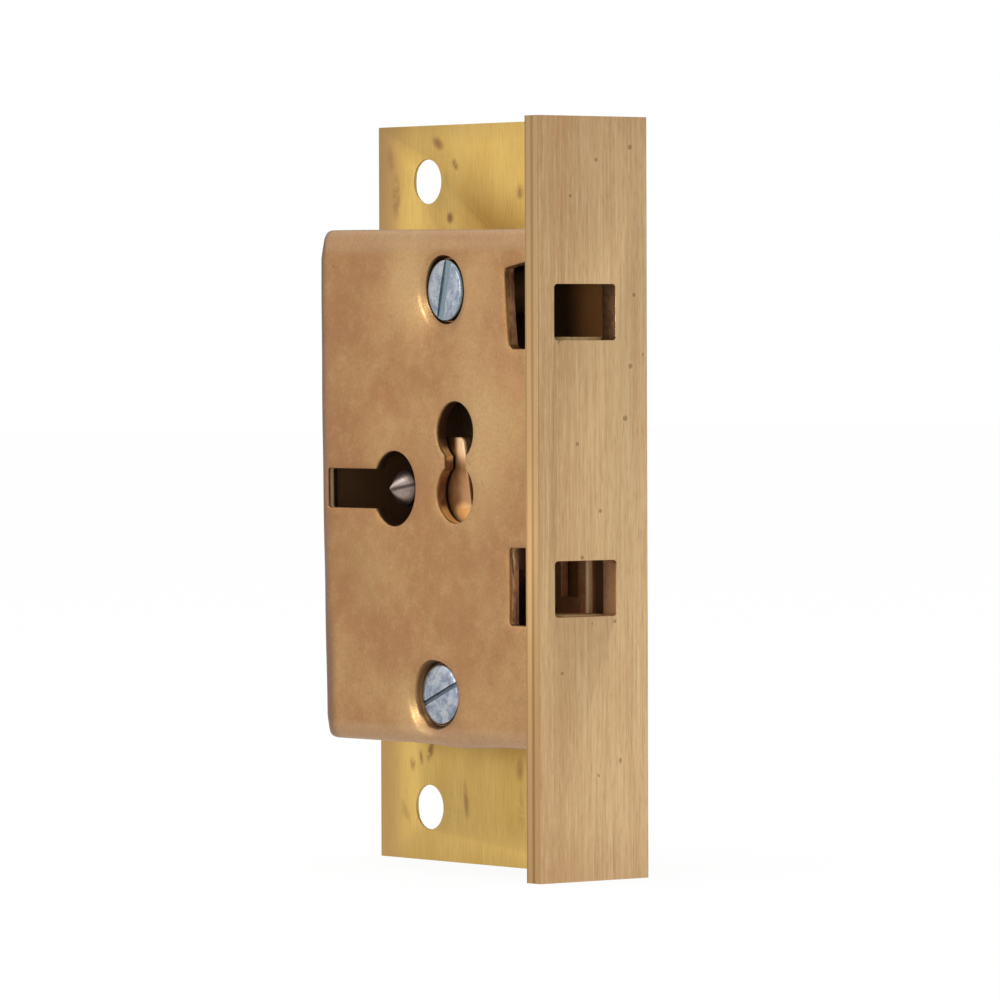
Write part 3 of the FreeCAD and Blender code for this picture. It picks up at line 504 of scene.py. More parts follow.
def lever_brass():
    """Rolled brass, dark, with painted light and shade: painted gold highlights on the blade's tip and foot,
    painted shade on its left near the window's wall, and painted shade near black outside what the window
    shows and deeper in.
    """
    t = Metal("lever_brass")
    cloud = t.noise(1.6, 3, 0.6, warp=0.6)
    fine = t.noise(0.14, 3, 0.7, stretch=(1, 1, 8), seed=3.0)
    # Painted highlights: the blade's tip and foot, where the window shows them
    tip = t.times(t.rise(t.z, 2.0, 4.2), t.rise(t.x, 8.4, 9.2))
    painted_foot_glint = t.spot(9.9, -2.4, 0.5, 1.0, 1.3)
    lobes = [t.spot(x + 0.20, z, LOBE + 0.05, 0.3) for x, z in LOBES]
    neck = t.times(t.rise(t.x, 8.40, 8.70), t.rise(t.z, 5.0, 4.0), t.rise(t.z, -0.5, 0.5))
    tone = t.coated(
        t.blend(t.rise(cloud, 0.35, 0.65), (0.235, 0.098, 0.032), (0.33, 0.155, 0.055)),
        # Painted shade: darker to the left, near the window's wall
        (t.rise(t.x, 8.6, 9.9), 0.7, (0.50, 0.26, 0.105)),
        (tip, 0.9, (1.0, 0.66, 0.38)),
        (painted_foot_glint, 0.85, (1.0, 0.56, 0.22)),
        (t.rise(fine, 0.45, 0.75), 0.30, (0.16, 0.065, 0.022)),
    )
    # Painted shade: near black outside what the window shows, and beside its wall at the upper left
    tone = t.blend(t.most(*lobes, neck), (0.045, 0.014, 0.005), tone)
    upper = t.blend(t.rise(t.x, 8.2, 8.7), (0.06, 0.022, 0.008), tone)
    tone = t.blend(t.rise(t.z, 3.6, 4.7), tone, upper)
    # Painted shade deeper in
    depth = t.rise(t.y, BLADE_FRONT + 0.12, BLADE_FRONT + 0.35)
    tone = t.blend(t.times(depth, 0.92), tone, (0.15, 0.062, 0.026))
    rough = t.plus(t.times(cloud, 0.14), 0.30)
    metal = t.minus(0.55, t.times(tip, 0.35))
    return t.finish(tone, rough, t.bump(fine, 0.01, t.bump(cloud, 0.04)), metal)


def screw_zinc():
    """Bright zinc plating, bluish, faintly crystalline, darker in the slots."""
    t = Metal("screw_zinc")
    cloud = t.noise(0.9, 3, 0.6, warp=0.8)
    fine = t.noise(0.22, 3, 0.7, seed=4.0)
    leaning = math.sin(math.radians(-SEATS["upper"]["lean"]))
    level = t.plus(t.y, t.times(t.minus(t.x, SCREWS["upper"][0]), leaning))
    upper_slot = t.times(t.rise(t.z, 0.0, 1.0), t.rise(level, FRONT + 0.23, FRONT + 0.28))
    lower_slot = t.times(t.rise(t.z, 1.0, 0.0), t.rise(t.y, FRONT + 0.98, FRONT + 1.06))
    tone = t.coated(
        t.blend(t.rise(cloud, 0.35, 0.65), (0.205, 0.245, 0.315), (0.42, 0.445, 0.475)),
        (t.rise(fine, 0.48, 0.70), 0.45, (0.13, 0.16, 0.205)),
        (upper_slot, 0.85, (0.16, 0.225, 0.255)),
        (lower_slot, 0.9, (0.08, 0.105, 0.135)),
    )
    rough = t.plus(t.times(fine, 0.18), 0.20)
    return t.finish(tone, rough, t.bump(fine, 0.014, t.bump(cloud, 0.03)))


def pin_steel():
    """Turned steel, with a painted highlight on its upper side and a painted dark reflection that slants
    across its point.
    """
    t = Metal("pin_steel")
    turned = t.noise(0.10, 2, 0.6, stretch=(50, 1, 50))
    cloud = t.noise(0.8, 3, 0.6, seed=6.0)
    # Painted reflection: a dark band slanting across the point
    off_dark_band = t.minus(t.z, t.times(t.minus(t.x, 0.5), 0.35))
    scratch = t.times(t.rise(t.math("ABSOLUTE", off_dark_band), 0.28, 0.08), t.rise(t.y, -5.0, -6.0))
    tone = t.coated(
        t.blend(t.rise(cloud, 0.35, 0.7), (0.30, 0.225, 0.195), (0.38, 0.300, 0.265)),
        # Painted highlight on the upper side
        (t.rise(t.z, 0.15, 0.45), 0.60, (0.48, 0.39, 0.355)),
        (t.rise(turned, 0.45, 0.7), 0.2, (0.16, 0.115, 0.095)),
        (scratch, 0.80, (0.06, 0.042, 0.036)),
    )
    rough = t.plus(t.times(turned, 0.12), 0.30)
    return t.finish(tone, rough, t.bump(turned, 0.01))


SPRING_COLOURS = ((0.52, 0.33, 0.11), (0.62, 0.42, 0.16), (0.30, 0.17, 0.06))
# The posts' colours are near black: tarnish and painted shade inside the case
POST_SHADED_COLOURS = ((0.13, 0.066, 0.024), (0.22, 0.125, 0.048), (0.08, 0.038, 0.016))
MATERIALS = {
    "cap_brass": cap_brass(),
    "plate_brass": plate_brass(),
    "selvedge_brass": selvedge_brass(),
    "bolt_brass": bolt_brass(),
    "lever_brass": lever_brass(),
    "spring_brass": inner_brass("spring_brass", *SPRING_COLOURS, grit=0.3),
    "post_brass": inner_brass("post_brass", *POST_SHADED_COLOURS, grit=0.35),
    "screw_zinc": screw_zinc(),
    "pin_steel": pin_steel(),
}


# Pieces

def linked(name, data):
    """A new object in the scene."""
    thing = bpy.data.objects.new(name, data)
    bpy.context.scene.collection.objects.link(thing)
    return thing


def shown(name, mesh, node):
    """Shows a mesh in a CAD node's place, with that node's finish."""
    mesh.materials.clear()
    mesh.materials.append(MATERIALS[NODE_SLOT[node]])
    piece = linked(name, mesh)
    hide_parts(node)
    return piece


def add_piece(name, mesh, node):
    """Shows a mesh in a CAD node's place, on that node's body."""
    piece = shown(name, mesh, node)
    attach(piece, NODE_BODY[node])


def shaded(mesh, crease=35):
    """Smooth shading with a crease wherever the surface turns by more than that many degrees."""
    mesh.polygons.foreach_set("use_smooth", [True] * len(mesh.polygons))
    mesh.set_sharp_from_angle(angle=math.radians(crease))
    return mesh


def modified(mesh, kind, settings):
    """The mesh after a modifier of that kind."""
    scratch = linked("scratch", mesh)
    modifier = scratch.modifiers.new(kind, kind)
    for name, value in settings.items():
        setattr(modifier, name, value)
    done = bpy.data.meshes.new_from_object(scratch.evaluated_get(bpy.context.evaluated_depsgraph_get()))
    bpy.data.objects.remove(scratch)
    return done


def eased(mesh, width, segments=2, angle=28):
    """The mesh with every edge that turns by more than angle rounded off by width."""
    settings = {
        "width": width * MM,
        "segments": segments,
        "limit_method": "ANGLE",
        "angle_limit": math.radians(angle),
        "harden_normals": True,
        "use_clamp_overlap": True,
    }
    return modified(shaded(mesh, 180), "BEVEL", settings)


def emptied(bm, name):
    """The bmesh as a mesh, its faces turned outwards."""
    bmesh.ops.recalc_face_normals(bm, faces=bm.faces)
    mesh = bpy.data.meshes.new(name)
    bm.to_mesh(mesh)
    bm.free()
    return mesh


def copied(node):
    """A copy of a CAD node's mesh, welded, with its flat faces whole."""
    bm = bmesh.new()
    bm.from_mesh(NODES[node].data)
    bmesh.ops.remove_doubles(bm, verts=bm.verts, dist=0.001 * MM)
    bmesh.ops.dissolve_limit(bm, angle_limit=math.radians(1), verts=bm.verts, edges=bm.edges)
    return emptied(bm, node)


def rounded(mesh, name, wanted, width, segments):
    """The mesh with some edges rounded off by width: those whose two ends, in millimetres, wanted picks."""
    bm = bmesh.new()
    bm.from_mesh(mesh)
    edges = [edge for edge in bm.edges if wanted(*(v.co / MM for v in edge.verts))]
    bmesh.ops.bevel(bm, geom=edges, offset=width * MM, segments=segments, affect="EDGES", profile=0.5)
    return emptied(bm, name)


def mortise_corner(one, two):
    """True for an edge that runs straight through the selvedge, at a corner of a mortise."""
    straight = abs(one.x - two.x) > 1.5 and math.hypot(one.y - two.y, one.z - two.z) < 0.01
    return straight and SIDE + 0.5 < one.y < -0.5 and abs(one.z) < MORTISE_REACH


def bolt_edge(one, two):
    """True for the bolt plate's long front edge that shows through the lower mortise."""
    return all(abs(end.x - BOLT_SIDE) < 0.01 and abs(end.y - BOLT_FRONT) < 0.01 for end in (one, two))


def lathed(profile, x, z, count=96):
    """A solid turned about Y through (x, z) from a profile of (radius, y) that starts and ends at 0."""
    bm = bmesh.new()
    rings = []
    for radius, y in profile:
        if radius == 0:
            rings.append([bm.verts.new((x * MM, y * MM, z * MM))])
            continue
        rings.append([
            bm.verts.new(((x + radius * math.cos(a)) * MM, y * MM, (z + radius * math.sin(a)) * MM))
            for a in (2 * math.pi * i / count for i in range(count))
        ])
    for one, two in zip(rings, rings[1:]):
        for i in range(count):
            j = (i + 1) % count
            corners = [one[i % len(one)], one[j % len(one)], two[j % len(two)], two[i % len(two)]]
            bm.faces.new(list(dict.fromkeys(corners)))
    return emptied(bm, "lathed")


# Flat outlines, as lists of (x, z)

def ellipse(x, z, half_width, half_height, count):
    turns = [2 * math.pi * i / count for i in range(count)]
    return [(x + half_width * math.cos(a), z + half_height * math.sin(a)) for a in turns]


def divided(points, step, closed=False):
    """The line with points added until no stretch is longer than step."""
    ends = points[1:] + points[:1] if closed else points[1:]
    done = []
    for (ax, az), (bx, bz) in zip(points, ends):
        parts = max(1, math.ceil(math.hypot(bx - ax, bz - az) / step))
        done += [(ax + (bx - ax) * k / parts, az + (bz - az) * k / parts) for k in range(parts)]
    return done if closed else done + [points[-1]]


def grown(points, by):
    """The closed outline moved outwards by that much, its corners kept."""
    p = np.array(points)
    after = np.roll(p, -1, axis=0)
    turning = np.sum(p[:, 0] * after[:, 1] - after[:, 0] * p[:, 1])
    sides = []
    for along in (p - np.roll(p, 1, axis=0), after - p):
        across = np.stack([along[:, 1], -along[:, 0]], axis=1) * math.copysign(1, turning)
        sides.append(across / np.linalg.norm(along, axis=1, keepdims=True))
    mean = sides[0] + sides[1]
    mean /= np.linalg.norm(mean, axis=1, keepdims=True)
    spread = np.maximum(np.sum(mean * sides[0], axis=1, keepdims=True), 0.6)
    return [tuple(v) for v in p + mean * by / spread]


def inside(points, outline):
    """Which of the points lie in the closed outline."""
    p, edge = np.asarray(points), np.asarray(outline)
    found = np.zeros(len(p), bool)
    for (ax, az), (bx, bz) in zip(edge, np.roll(edge, -1, axis=0)):
        if az == bz:
            continue
        crosses = (az > p[:, 1]) != (bz > p[:, 1])
        found ^= crosses & (p[:, 0] < (bx - ax) * (p[:, 1] - az) / (bz - az) + ax)
    return found


def distance(points, outline, closed=True):
    """How far each point lies from the outline."""
    p = np.asarray(points)[:, None, :]
    a = np.asarray(outline)
    b = np.roll(a, -1, axis=0)
    if not closed:
        a, b = a[:-1], b[:-1]
    along = (b - a)[None]
    share = np.clip(np.sum((p - a) * along, axis=2) / np.sum(along * along, axis=2), 0, 1)
    away = p - (a + along * share[..., None])
    return np.sqrt(np.min(np.sum(away * away, axis=2), axis=1))


def stretches(loop, outline, clearance):
    """The stretches of a closed loop that lie in the outline, well away from its edge."""
    keep = inside(loop, outline) & (distance(loop, outline) > clearance)
    if keep.all():
        return [loop + loop[:1]]
    if not keep.any():
        return []
    first = int(np.argmin(keep))
    runs, run = [], []
    for i in range(first, first + len(loop) + 1):
        if keep[i % len(loop)]:
            run.append(loop[i % len(loop)])
        elif run:
            runs.append(run)
            run = []
    return [r for r in runs if len(r) > 1]


def triangles(points, edges):
    """The points and edges as triangles: places, faces and each face's middle."""
    done, _, faces, _, _, _ = delaunay_2d_cdt([Vector(p) for p in points], edges, [], 0, 1e-5)
    places = np.array([(v.x, v.y) for v in done])
    return places, [tuple(f) for f in faces], np.array([places[list(f)].mean(axis=0) for f in faces])


def looped(loop, first):
    """The edges of a closed loop whose points are numbered from first."""
    return [(first + i, first + (i + 1) % len(loop)) for i in range(len(loop))]


def joined(a, b):
    """The outline round two closed outlines that overlap."""
    places, faces, middles = triangles(a + b, looped(a, 0) + looped(b, len(a)))
    keep = inside(middles, a) | inside(middles, b)
    sides = {(f[i], f[(i + 1) % 3]) for f, k in zip(faces, keep) if k for i in range(3)}
    following = {p: q for p, q in sides if (q, p) not in sides}
    start = min(following)
    loop, at = [start], following[start]
    while at != start:
        loop.append(at)
        at = following[at]
    return [tuple(places[i]) for i in loop]


def filled(outline, holes, lines, loose):
    """Triangles that fill the outline but not the holes, and follow the lines and the loose points."""
    points, edges = [], []
    for loop in (outline, *holes):
        edges += looped(loop, len(points))
        points += loop
    for line in lines:
        edges += [(len(points) + i, len(points) + i + 1) for i in range(len(line) - 1)]
        points += line
    places, faces, middles = triangles(points + loose, edges)
    keep = inside(middles, outline)
    for hole in holes:
        keep &= ~inside(middles, hole)
    return places, [f for f, k in zip(faces, keep) if k]


def sheet_metal(name, outer, inner, faces):
    """A closed mesh from one skin's faces, the same on the other skin, and walls at every free edge."""
    count = len(outer)
    sides = {(f[i], f[(i + 1) % len(f)]) for f in faces for i in range(len(f))}
    both = list(faces) + [tuple(count + i for i in reversed(f)) for f in faces]
    both += [(b, a, count + a, count + b) for a, b in sides if (b, a) not in sides]
    mesh = bpy.data.meshes.new(name)
    mesh.from_pydata([tuple(p) for p in np.vstack([outer, inner]) * MM], [], both)
    bm = bmesh.new()
    bm.from_mesh(mesh)
    bmesh.ops.delete(bm, geom=[v for v in bm.verts if not v.link_faces], context="VERTS")
    return emptied(bm, name)


# Cap

def smooth_step(value, start, end):
    t = np.clip((value - start) / (end - start), 0, 1)
    return t * t * (3 - 2 * t)


def pressing(x, z):
    """How far the sheet is pressed in: two lipped dishes, each with a soft hollow at its lower left."""
    total = np.zeros(np.shape(x))
    for end, seat in SEATS.items():
        dx, dz = x - SCREWS[end][0], z - SCREWS[end][1]
        away = np.hypot(dx, dz)
        some = np.maximum(away, 0.1)
        rim = seat["rim"] + seat["open"] * np.clip(dx / some, 0, 1) ** 2
        wall = smooth_step(away, seat["floor"], rim)
        lower_left = np.clip(0.5 - (dx + dz) / (2.2 * some), 0, 1)
        more = LIP_MORE * lower_left
        fall = np.clip((rim + LIP_REACH + more - away) / (LIP_FALL + more), 0, 1)
        lip = LIP * (0.2 + lower_left) * (0.6 * fall + 0.4 * fall * fall * (3 - 2 * fall))
        aside = np.hypot(dx - HOLLOW_X, dz - HOLLOW_Z) / seat["spread"]
        hollow = seat["soft"] * lower_left * np.exp(-(aside**2))
        total += seat["depth"] * (1 - wall) + (lip + hollow) * wall
    return total


def rounding(away):
    """How far the outer skin drops near an opening's edge."""
    near = np.clip(EDGE - away, 0, EDGE)
    return EDGE - np.sqrt(EDGE**2 - near**2)


def lean(x, z):
    """The left side isn't quite straight: it bows out in the middle and draws in towards both its corners."""
    top, bottom = 2.8, 2.3
    side = -LEFT_SHIFT - LEFT_TILT * z + LEFT_BOW * z * z
    near_top, near_bottom = (z - CAP_TOP + top) / top, (CAP_BOTTOM + bottom - z) / bottom
    side += 0.75 * np.clip(near_top, 0, 1) + 0.5 * np.clip(near_bottom, 0, 1)
    return side * (1 - smooth_step(x, FLAT_LEFT, FLAT_LEFT + 5))


def flare(x, z):
    """The top and bottom edges run slightly apart towards the left."""
    width, start, end = 33, 7, 2
    share = 1 - smooth_step(x, CAP_LEFT, CAP_LEFT + width)
    up = 0.30 * smooth_step(z, CAP_TOP - start, CAP_TOP - end)
    down = 0.12 * smooth_step(-z, -CAP_BOTTOM - start, -CAP_BOTTOM - end)
    return share * (up - down)


def ripple(x, z):
    """The front isn't quite flat."""
    wave = 0.05 * np.sin(0.31 * x + 0.9) * np.sin(0.17 * z + 0.5)
    return wave + 0.02 * np.sin(0.8 * x - 0.55 * z)


def cap_stations():
    """Stations on the front's edge: where each fold starts, its wall's reach out and its own reach back."""
    along_top = np.linspace(CAP_RIGHT, FLAT_LEFT, 110)
    along_left = np.linspace(FLAT_TOP, FLAT_BOTTOM, 100)
    along_bottom = np.linspace(FLAT_LEFT, CAP_RIGHT, 130)
    top = [((x, FLAT_TOP), (0.0, TOP_FOLD[0]), TOP_FOLD[1]) for x in along_top]
    left = [((FLAT_LEFT, z), (-LEFT_FOLD[0], 0.0), LEFT_FOLD[1]) for z in along_left]
    bottom = [((x, FLAT_BOTTOM), (0.0, -BOTTOM_FOLD[0]), BOTTOM_FOLD[1]) for x in along_bottom]
    upper_corner = corner_stations((FLAT_LEFT, FLAT_TOP), TOP_FOLD, 1)
    lower_corner = corner_stations((FLAT_LEFT, FLAT_BOTTOM), BOTTOM_FOLD, -1)[::-1]
    return top[:-1] + upper_corner + left[1:-1] + lower_corner + bottom[1:]


def corner_stations(place, fold, side):
    """The fold's stations round a corner, from its end wall to the left wall."""
    reach, depth = LEFT_FOLD
    height = fold[0]
    path = [((reach - CORNER) * share, height) for share in np.linspace(0, 1, 5)[:-1]]
    for a in np.radians(np.linspace(90, 0, 9)):
        path.append((reach - CORNER + CORNER * math.cos(a), height - CORNER + CORNER * math.sin(a)))
    path += [(reach, (height - CORNER) * share) for share in np.linspace(1, 0, 4)[1:]]
    return [(place, (-out, side * up), fold[1] + (depth - fold[1]) * (out / reach) ** 2) for out, up in path]


def front_outline(stations, notches):
    """The edge of the flat front: along the folds and then up the right side, into its notches."""
    outline = list(dict.fromkeys((round(float(x), 6), round(float(z), 6)) for (x, z), _, _ in stations))
    last = (CAP_RIGHT, FLAT_BOTTOM)
    for notch in notches:
        outline += divided([last, notch[0]], 0.8)[1:-1] + notch
        last = notch[-1]
    return outline + divided([last, (CAP_RIGHT, FLAT_TOP)], 0.8)[1:-1]


def keyhole_outline():
    left, top, bottom = SLOT
    slot = [(0.0, bottom), (0.0, top), (left + SLOT_CORNER, top), (left, top - SLOT_CORNER)]
    slot += [(left, bottom + SLOT_CORNER), (left + SLOT_CORNER, bottom)]
    return joined(ellipse(*KEYHOLE, 110), divided(slot, 0.25, closed=True))


def window_outline():
    (x, upper), (_, lower) = LOBES
    neck = [(x - NECK, upper), (x - NECK, lower), (x + NECK, lower), (x + NECK, upper)]
    window = joined(ellipse(x, upper, LOBE, LOBE, 80), divided(neck, 0.25, closed=True))
    return joined(window, ellipse(x, lower, LOBE, LOBE, 80))


def guide_lines(outline, openings):
    """Lines for the triangles to follow, close round each opening and in rings at each dish."""
    lines = []
    for loop in openings:
        for away in (0.03, 0.08, EDGE):
            lines += stretches(grown(loop, away), outline, 0.02)
    for end, centre in SCREWS.items():
        floor, rim = SEATS[end]["floor"], SEATS[end]["rim"]
        beside = [rim + step for step in (0.06, 0.13, 0.21, 0.3, 0.42, 0.55, 0.7, 0.9, 1.15, 1.5, 1.9, 2.5)]
        for radius in (2.2, 2.8, *np.linspace(floor, rim, 5), *beside):
            lines += stretches(ellipse(*centre, float(radius), float(radius), 96), outline, 0.05)
    return lines


def loose_points(outline, openings):
    """A grid of points over the front, clear of its edge, its openings and its dishes."""
    pitch, edge_gap, opening_gap, dish_gap = 0.75, 0.4, 0.45, 6.5
    left = min(outline)[0]
    grid = [
        (left + pitch * (i + 0.5 * (j % 2)), FLAT_BOTTOM + pitch * j)
        for j in range(1, int((FLAT_TOP - FLAT_BOTTOM) / pitch) + 1)
        for i in range(int((CAP_RIGHT - left) / pitch) + 1)
    ]
    keep = inside(grid, outline) & (distance(grid, outline) > edge_gap)
    for loop in openings:
        keep &= ~inside(grid, grown(loop, opening_gap))
    for centre in SCREWS.values():
        keep &= np.hypot(*(np.array(grid) - centre).T) > dish_gap
    return [p for p, k in zip(grid, keep) if k]


def cap_front(stations):
    """The front's places, its triangles, and the edges of its openings with whether each is closed."""
    notches = [divided(notch, 0.3) for notch in (LOWER_NOTCH, UPPER_NOTCH)]
    outline = front_outline(stations, notches)
    keyhole, window = keyhole_outline(), window_outline()
    beyond = CAP_RIGHT + 2
    openings = [keyhole, window, *([*n, (beyond, n[-1][1]), (beyond, n[0][1])] for n in notches)]
    screw_holes = [ellipse(*centre, 1.4, 1.4, 32) for centre in SCREWS.values()]
    lines = guide_lines(outline, openings)
    loose = loose_points(outline, openings)
    places, faces = filled(outline, [keyhole, window, *screw_holes], lines, loose)
    return places, faces, [(keyhole, True), (window, True), *((n, False) for n in notches)]


def fold(outer, inner, stations):
    """Adds the folds and the walls to both skins, a row of places for each step back towards the plate."""
    starts, reach, depth = (np.array(column) for column in zip(*stations))
    bulge = BULGE_HEIGHT * np.exp(-(((starts[:, 0] - BULGE_X) / BULGE_HALF) ** 2)) * (reach[:, 1] < 0)
    heights = np.where(reach[:, 1] > 0, TOP_FOLD[0], BOTTOM_FOLD[0])
    widths = np.stack([np.full(len(reach), LEFT_FOLD[0]), heights], axis=1)
    inner_reach = reach * (widths - WALL) / widths
    inner_depth = np.maximum(depth - WALL, LEAST_BEND)
    skins = ((outer, reach, depth, FRONT), (inner, inner_reach, inner_depth, FRONT + WALL))
    for a in np.radians(np.linspace(0, 90, 13)[1:]):
        flat = math.cos(a)
        for layer, out, back, face in skins:
            px, pz = (starts + out * math.sin(a)).T
            sunk = (pressing(px, pz) + ripple(px, pz)) * flat
            layer.append(np.stack([px, face + back * (1 - flat) + sunk, pz - bulge * (1 - flat)], axis=1))
    for share in (0.25, 0.5, 0.75, 1.0):
        for layer, out, back, face in skins:
            px, pz = (starts + out).T
            y = (face + back) * (1 - share) - PLATE_GAP * share
            layer.append(np.stack([px, y, pz - bulge], axis=1))


def cap_mesh():
    """The cap as one bent sheet: its front with the openings and the dishes, and three walls folded back."""
    stations = cap_stations()
    places, faces, openings = cap_front(stations)
    x, z = places.T
    away = np.min([distance(places, loop, closed) for loop, closed in openings], axis=0)
    shift = pressing(x, z) + ripple(x, z)
    outer = [np.stack([x, FRONT + shift + rounding(away), z], axis=1)]
    inner = [np.stack([x, FRONT + WALL + shift, z], axis=1)]
    fold(outer, inner, stations)
    count, first = len(stations), len(places)
    rows = [[int(np.argmin(np.hypot(*(places - start).T))) for start, _, _ in stations]]
    rows += [range(first + count * i, first + count * (i + 1)) for i in range(len(outer) - 1)]
    for one, two in zip(rows, rows[1:]):
        for i in range(count - 1):
            faces.append(tuple(dict.fromkeys((one[i], two[i], two[i + 1], one[i + 1]))))
    layers = [np.vstack(outer), np.vstack(inner)]
    for layer in layers:
        up = flare(layer[:, 0], layer[:, 2])
        layer[:, 0] += lean(layer[:, 0], layer[:, 2])
        layer[:, 2] += up
    return shaded(sheet_metal("cap_pressing", *layers, faces))


def screw_mesh(end):
    """A cheese-head screw, slightly domed, its edge eased and its slot worn."""
    x, z = SCREWS[end]
    seat = SEATS[end]
    face, back = FRONT + seat["face"], FRONT + seat["depth"]
    radius, slot_length, pivot = 3.1, 7.5, 0.5
    profile = [
        (0, face - 0.05), (1.2, face - 0.042), (2.3, face - 0.015), (2.76, face + 0.005),
        (2.93, face + 0.04), (3.04, face + 0.10), (radius, face + 0.20), (radius, back - 0.02),
        (1.25, back), (1.25, back + 5.0), (0.9, back + 5.2), (0, back + 5.2),
    ]
    cutter = bpy.data.meshes.new("cutter")
    bm = bmesh.new()
    bmesh.ops.create_cube(bm, size=1)
    bmesh.ops.scale(bm, vec=(slot_length * MM, 2 * seat["cut"] * MM, seat["width"] * MM), verts=bm.verts)
    bmesh.ops.rotate(bm, matrix=Matrix.Rotation(math.radians(-seat["turn"]), 3, "Y"), verts=bm.verts)
    bmesh.ops.translate(bm, vec=(x * MM, face * MM, z * MM), verts=bm.verts)
    bm.to_mesh(cutter)
    bm.free()
    tool = linked("cutter", cutter)
    slotting = {"operation": "DIFFERENCE", "solver": "EXACT", "object": tool}
    slotted = modified(lathed(profile, x, z), "BOOLEAN", slotting)
    bpy.data.objects.remove(tool)
    slotted = eased(slotted, 0.05, angle=40)
    centre = Vector((x * MM, (face + pivot) * MM, z * MM))
    leaning = Matrix.Rotation(math.radians(seat["lean"]), 4, "Z")
    slotted.transform(Matrix.Translation(centre) @ leaning @ Matrix.Translation(-centre))
    return slotted


def pin_mesh():
    """The drill pin: a turned steel rod with a blunt point and a thinner tail."""
    radius = (high("drill_pin", "x") - low("drill_pin", "x")) / 2
    tip, back = low("drill_pin", "y"), high("drill_pin", "y")
    tail = 1.28
    profile = [
        (0, tip), (0.10, tip + 0.02), (0.2, tip + 0.09), (radius - 0.08, tip + 1.78),
        (radius - 0.02, tip + 1.92), (radius, tip + 2.1), (radius, tip + 6), (radius, -0.02),
        (tail, -0.01), (tail, back - 0.01), (0, back - 0.01),
    ]
    return shaded(lathed(profile, 0, 0))


# How far the edges of each copied piece are worn
WORN = {
    "selvedge": 0.14, "back_plate": 0.16, "bolt_plate": 0.30, "bolt_head_upper": 0.15,
    "bolt_head_lower": 0.15, "bolt_stump": 0.08, "front_lever": 0.10, "rear_lever": 0.10,
    "lever_spacer": 0.06, "lever_washer": 0.03, "lever_stop": 0.08, "upper_pillar": 0.08,
    "lower_pillar": 0.08, "guide_stud_upper": 0.08, "guide_stud_lower": 0.08, "bolt_rivets": 0.06,
}

# Edges that are rounder than the rest of their piece: which, how far and in how many steps
ROUNDER = {"selvedge": (mortise_corner, 0.38, 4), "bolt_plate": (bolt_edge, 0.32, 3)}


def bend_spring(side):
    """A leaf spring: a copy of its node with its edges eased, shown in the node's place."""
    node = f"{side}_lever_spring"
    piece = shown(f"{node}_bent", eased(copied(node), 0.03, segments=1), node)
    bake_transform(piece)


def build_lock():
    add_piece("cap_pressing", cap_mesh(), "cap")
    for end in SCREWS:
        add_piece(f"cap_screw_head_{end}", screw_mesh(end), f"cap_screw_{end}")
    add_piece("drill_pin_turned", pin_mesh(), "drill_pin")
    for node, width in WORN.items():
        mesh = copied(node)
        if node in ROUNDER:
            mesh = rounded(mesh, node, *ROUNDER[node])
        add_piece(f"{node}_worn", eased(mesh, width), node)
    for side in ("front", "rear"):
        bend_spring(side)


build_lock()


# Studio

# Square lamps aimed at the lock: name, place and side in metres, and radiance, 1 being a white sheet's
LAMPS = (
    ("overhead", (0.02, -0.16, 0.62), 0.42, 2.2),
    ("left_front", (-0.62, -0.50, 0.12), 0.50, 0.35),
    ("glint", (-0.31, -0.68, 0.115), 0.12, 10.5),
)

# Sides of the room: direction, cosines where the change starts and is full, and the change in brightness
ROOM_SIDES = (
    ((0.79, -0.61, 0.0), 0.45, 0.95, 0.20),
    ((-0.93, 0.36, 0.0), 0.70, 0.97, -0.65),
    ((-0.38, -0.83, 0.40), 0.82, 0.97, 0.5),
    ((-0.75, 0.0, 0.66), 0.80, 0.96, 0.9),
)


def softbox(name, place, size, radiance):
    light = bpy.data.lights.new(name, "AREA")
    light.size = size
    light.energy = radiance * math.pi * size * size
    lamp = linked(name, light)
    lamp.location = place
    lamp.rotation_euler = (-Vector(place)).to_track_quat("-Z", "Y").to_euler()


def room_side(g, direction, aim, start, end, change):
    """1 everywhere but towards aim, where it rises smoothly by change."""
    inputs = {0: direction, 1: Vector(aim).normalized()}
    cosine = g.new("VectorMath", inputs, "Value", operation="DOT_PRODUCT")
    return g.ramp(cosine, start, end, 1.0, 1.0 + change)


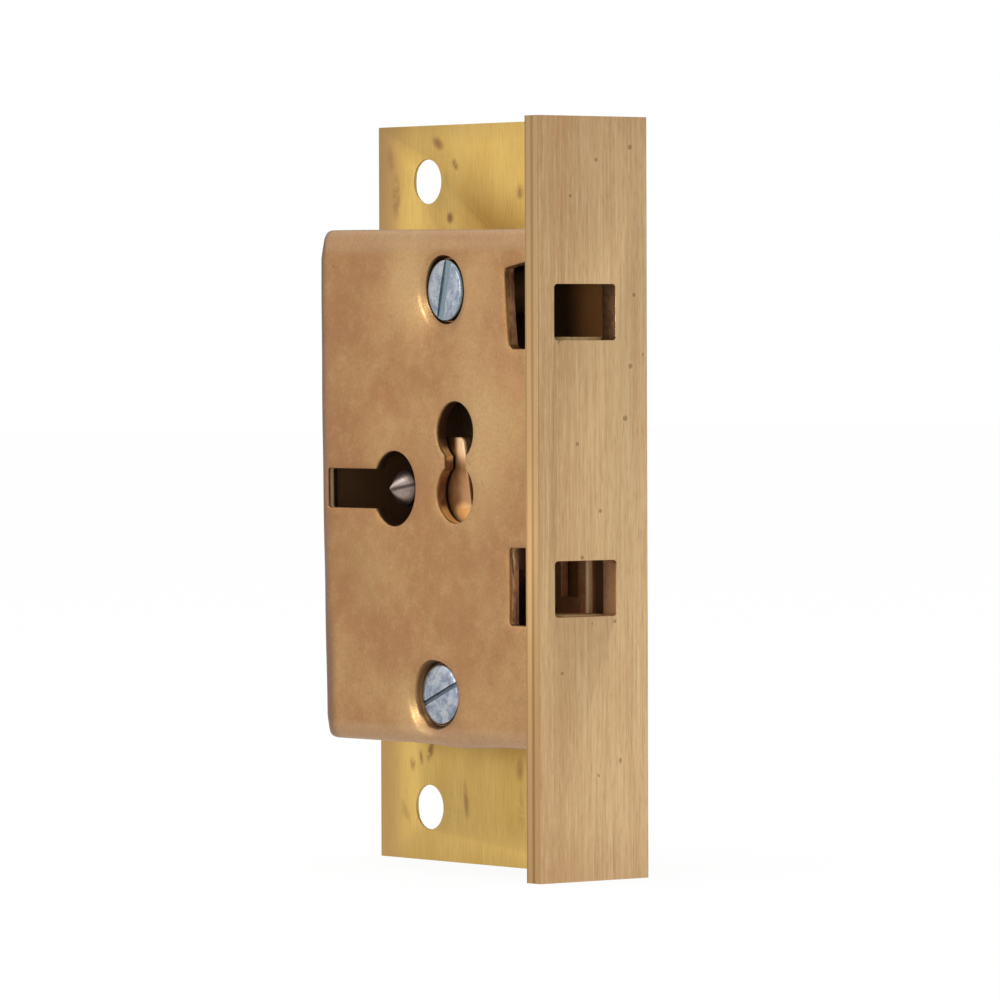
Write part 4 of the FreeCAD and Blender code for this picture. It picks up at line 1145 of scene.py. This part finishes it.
def make_world():
    """A white room: plain white behind the lock, with darker and brighter sides in reflections."""
    world = bpy.data.worlds.new("white_room")
    bpy.context.scene.world = world
    world.use_nodes = True
    g = Graph(world.node_tree)
    white = g.nodes["Background"]
    g.put((1, 1, 1), white.inputs["Color"])
    direction = g.new("TexCoord", {}, "Generated")
    level = g.times(*(room_side(g, direction, *side) for side in ROOM_SIDES))
    room = g.new("Background", {"Strength": level})
    rays = g.nodes.new("ShaderNodeLightPath").outputs
    seen = g.most(rays["Is Camera Ray"], rays["Is Transmission Ray"])
    g.put(g.mixed(seen, room, white.outputs[0]), g.nodes["World Output"].inputs["Surface"])


def make_floor():
    """A pale floor that looks white and keeps a faint shadow."""
    reach, gap, white_share = 3.0, 0.02, 0.93
    mesh = bpy.data.meshes.new("floor")
    corners = [(-reach, -reach, 0), (reach, -reach, 0), (reach, reach, 0), (-reach, reach, 0)]
    mesh.from_pydata(corners, [], [(0, 1, 2, 3)])
    floor = linked("floor", mesh)
    floor.location.z = (FLOOR - gap) * MM
    material = bpy.data.materials.new("pale_floor")
    material.use_nodes = True
    g = Graph(material.node_tree)
    surface = g.nodes["Principled BSDF"]
    g.put((0.97, 0.97, 0.97), surface.inputs["Base Color"])
    g.put(0.9, surface.inputs["Roughness"])
    rays = g.nodes.new("ShaderNodeLightPath").outputs
    seen = g.most(rays["Is Camera Ray"], rays["Is Glossy Ray"], rays["Is Transmission Ray"])
    shades = g.mixed(g.times(seen, white_share), surface.outputs[0], g.new("Emission", {}))
    g.put(shades, g.nodes["Material Output"].inputs["Surface"])
    mesh.materials.append(material)


def make_camera():
    """The photograph's viewpoint: to the right of the cap's front and level with the lock's upper half."""
    camera = bpy.data.cameras.new("camera")
    camera.lens = 257.95
    camera.sensor_width = 36
    camera.clip_start = 0.05
    camera.clip_end = 20
    right = Vector((0.61352, 0.78967, -0.00334))
    down = Vector((0.01516, -0.01600, -0.99976))
    turned = Matrix((right, -down, -right.cross(down))).transposed()
    viewer = linked("camera", camera)
    viewer.location = (0.58063, -0.44884, 0.01463)
    viewer.rotation_euler = turned.to_euler()
    bpy.context.scene.camera = viewer


make_world()
make_floor()
make_camera()
for lamp in LAMPS:
    softbox(*lamp)
bpy.context.scene.view_settings.view_transform = "Standard"
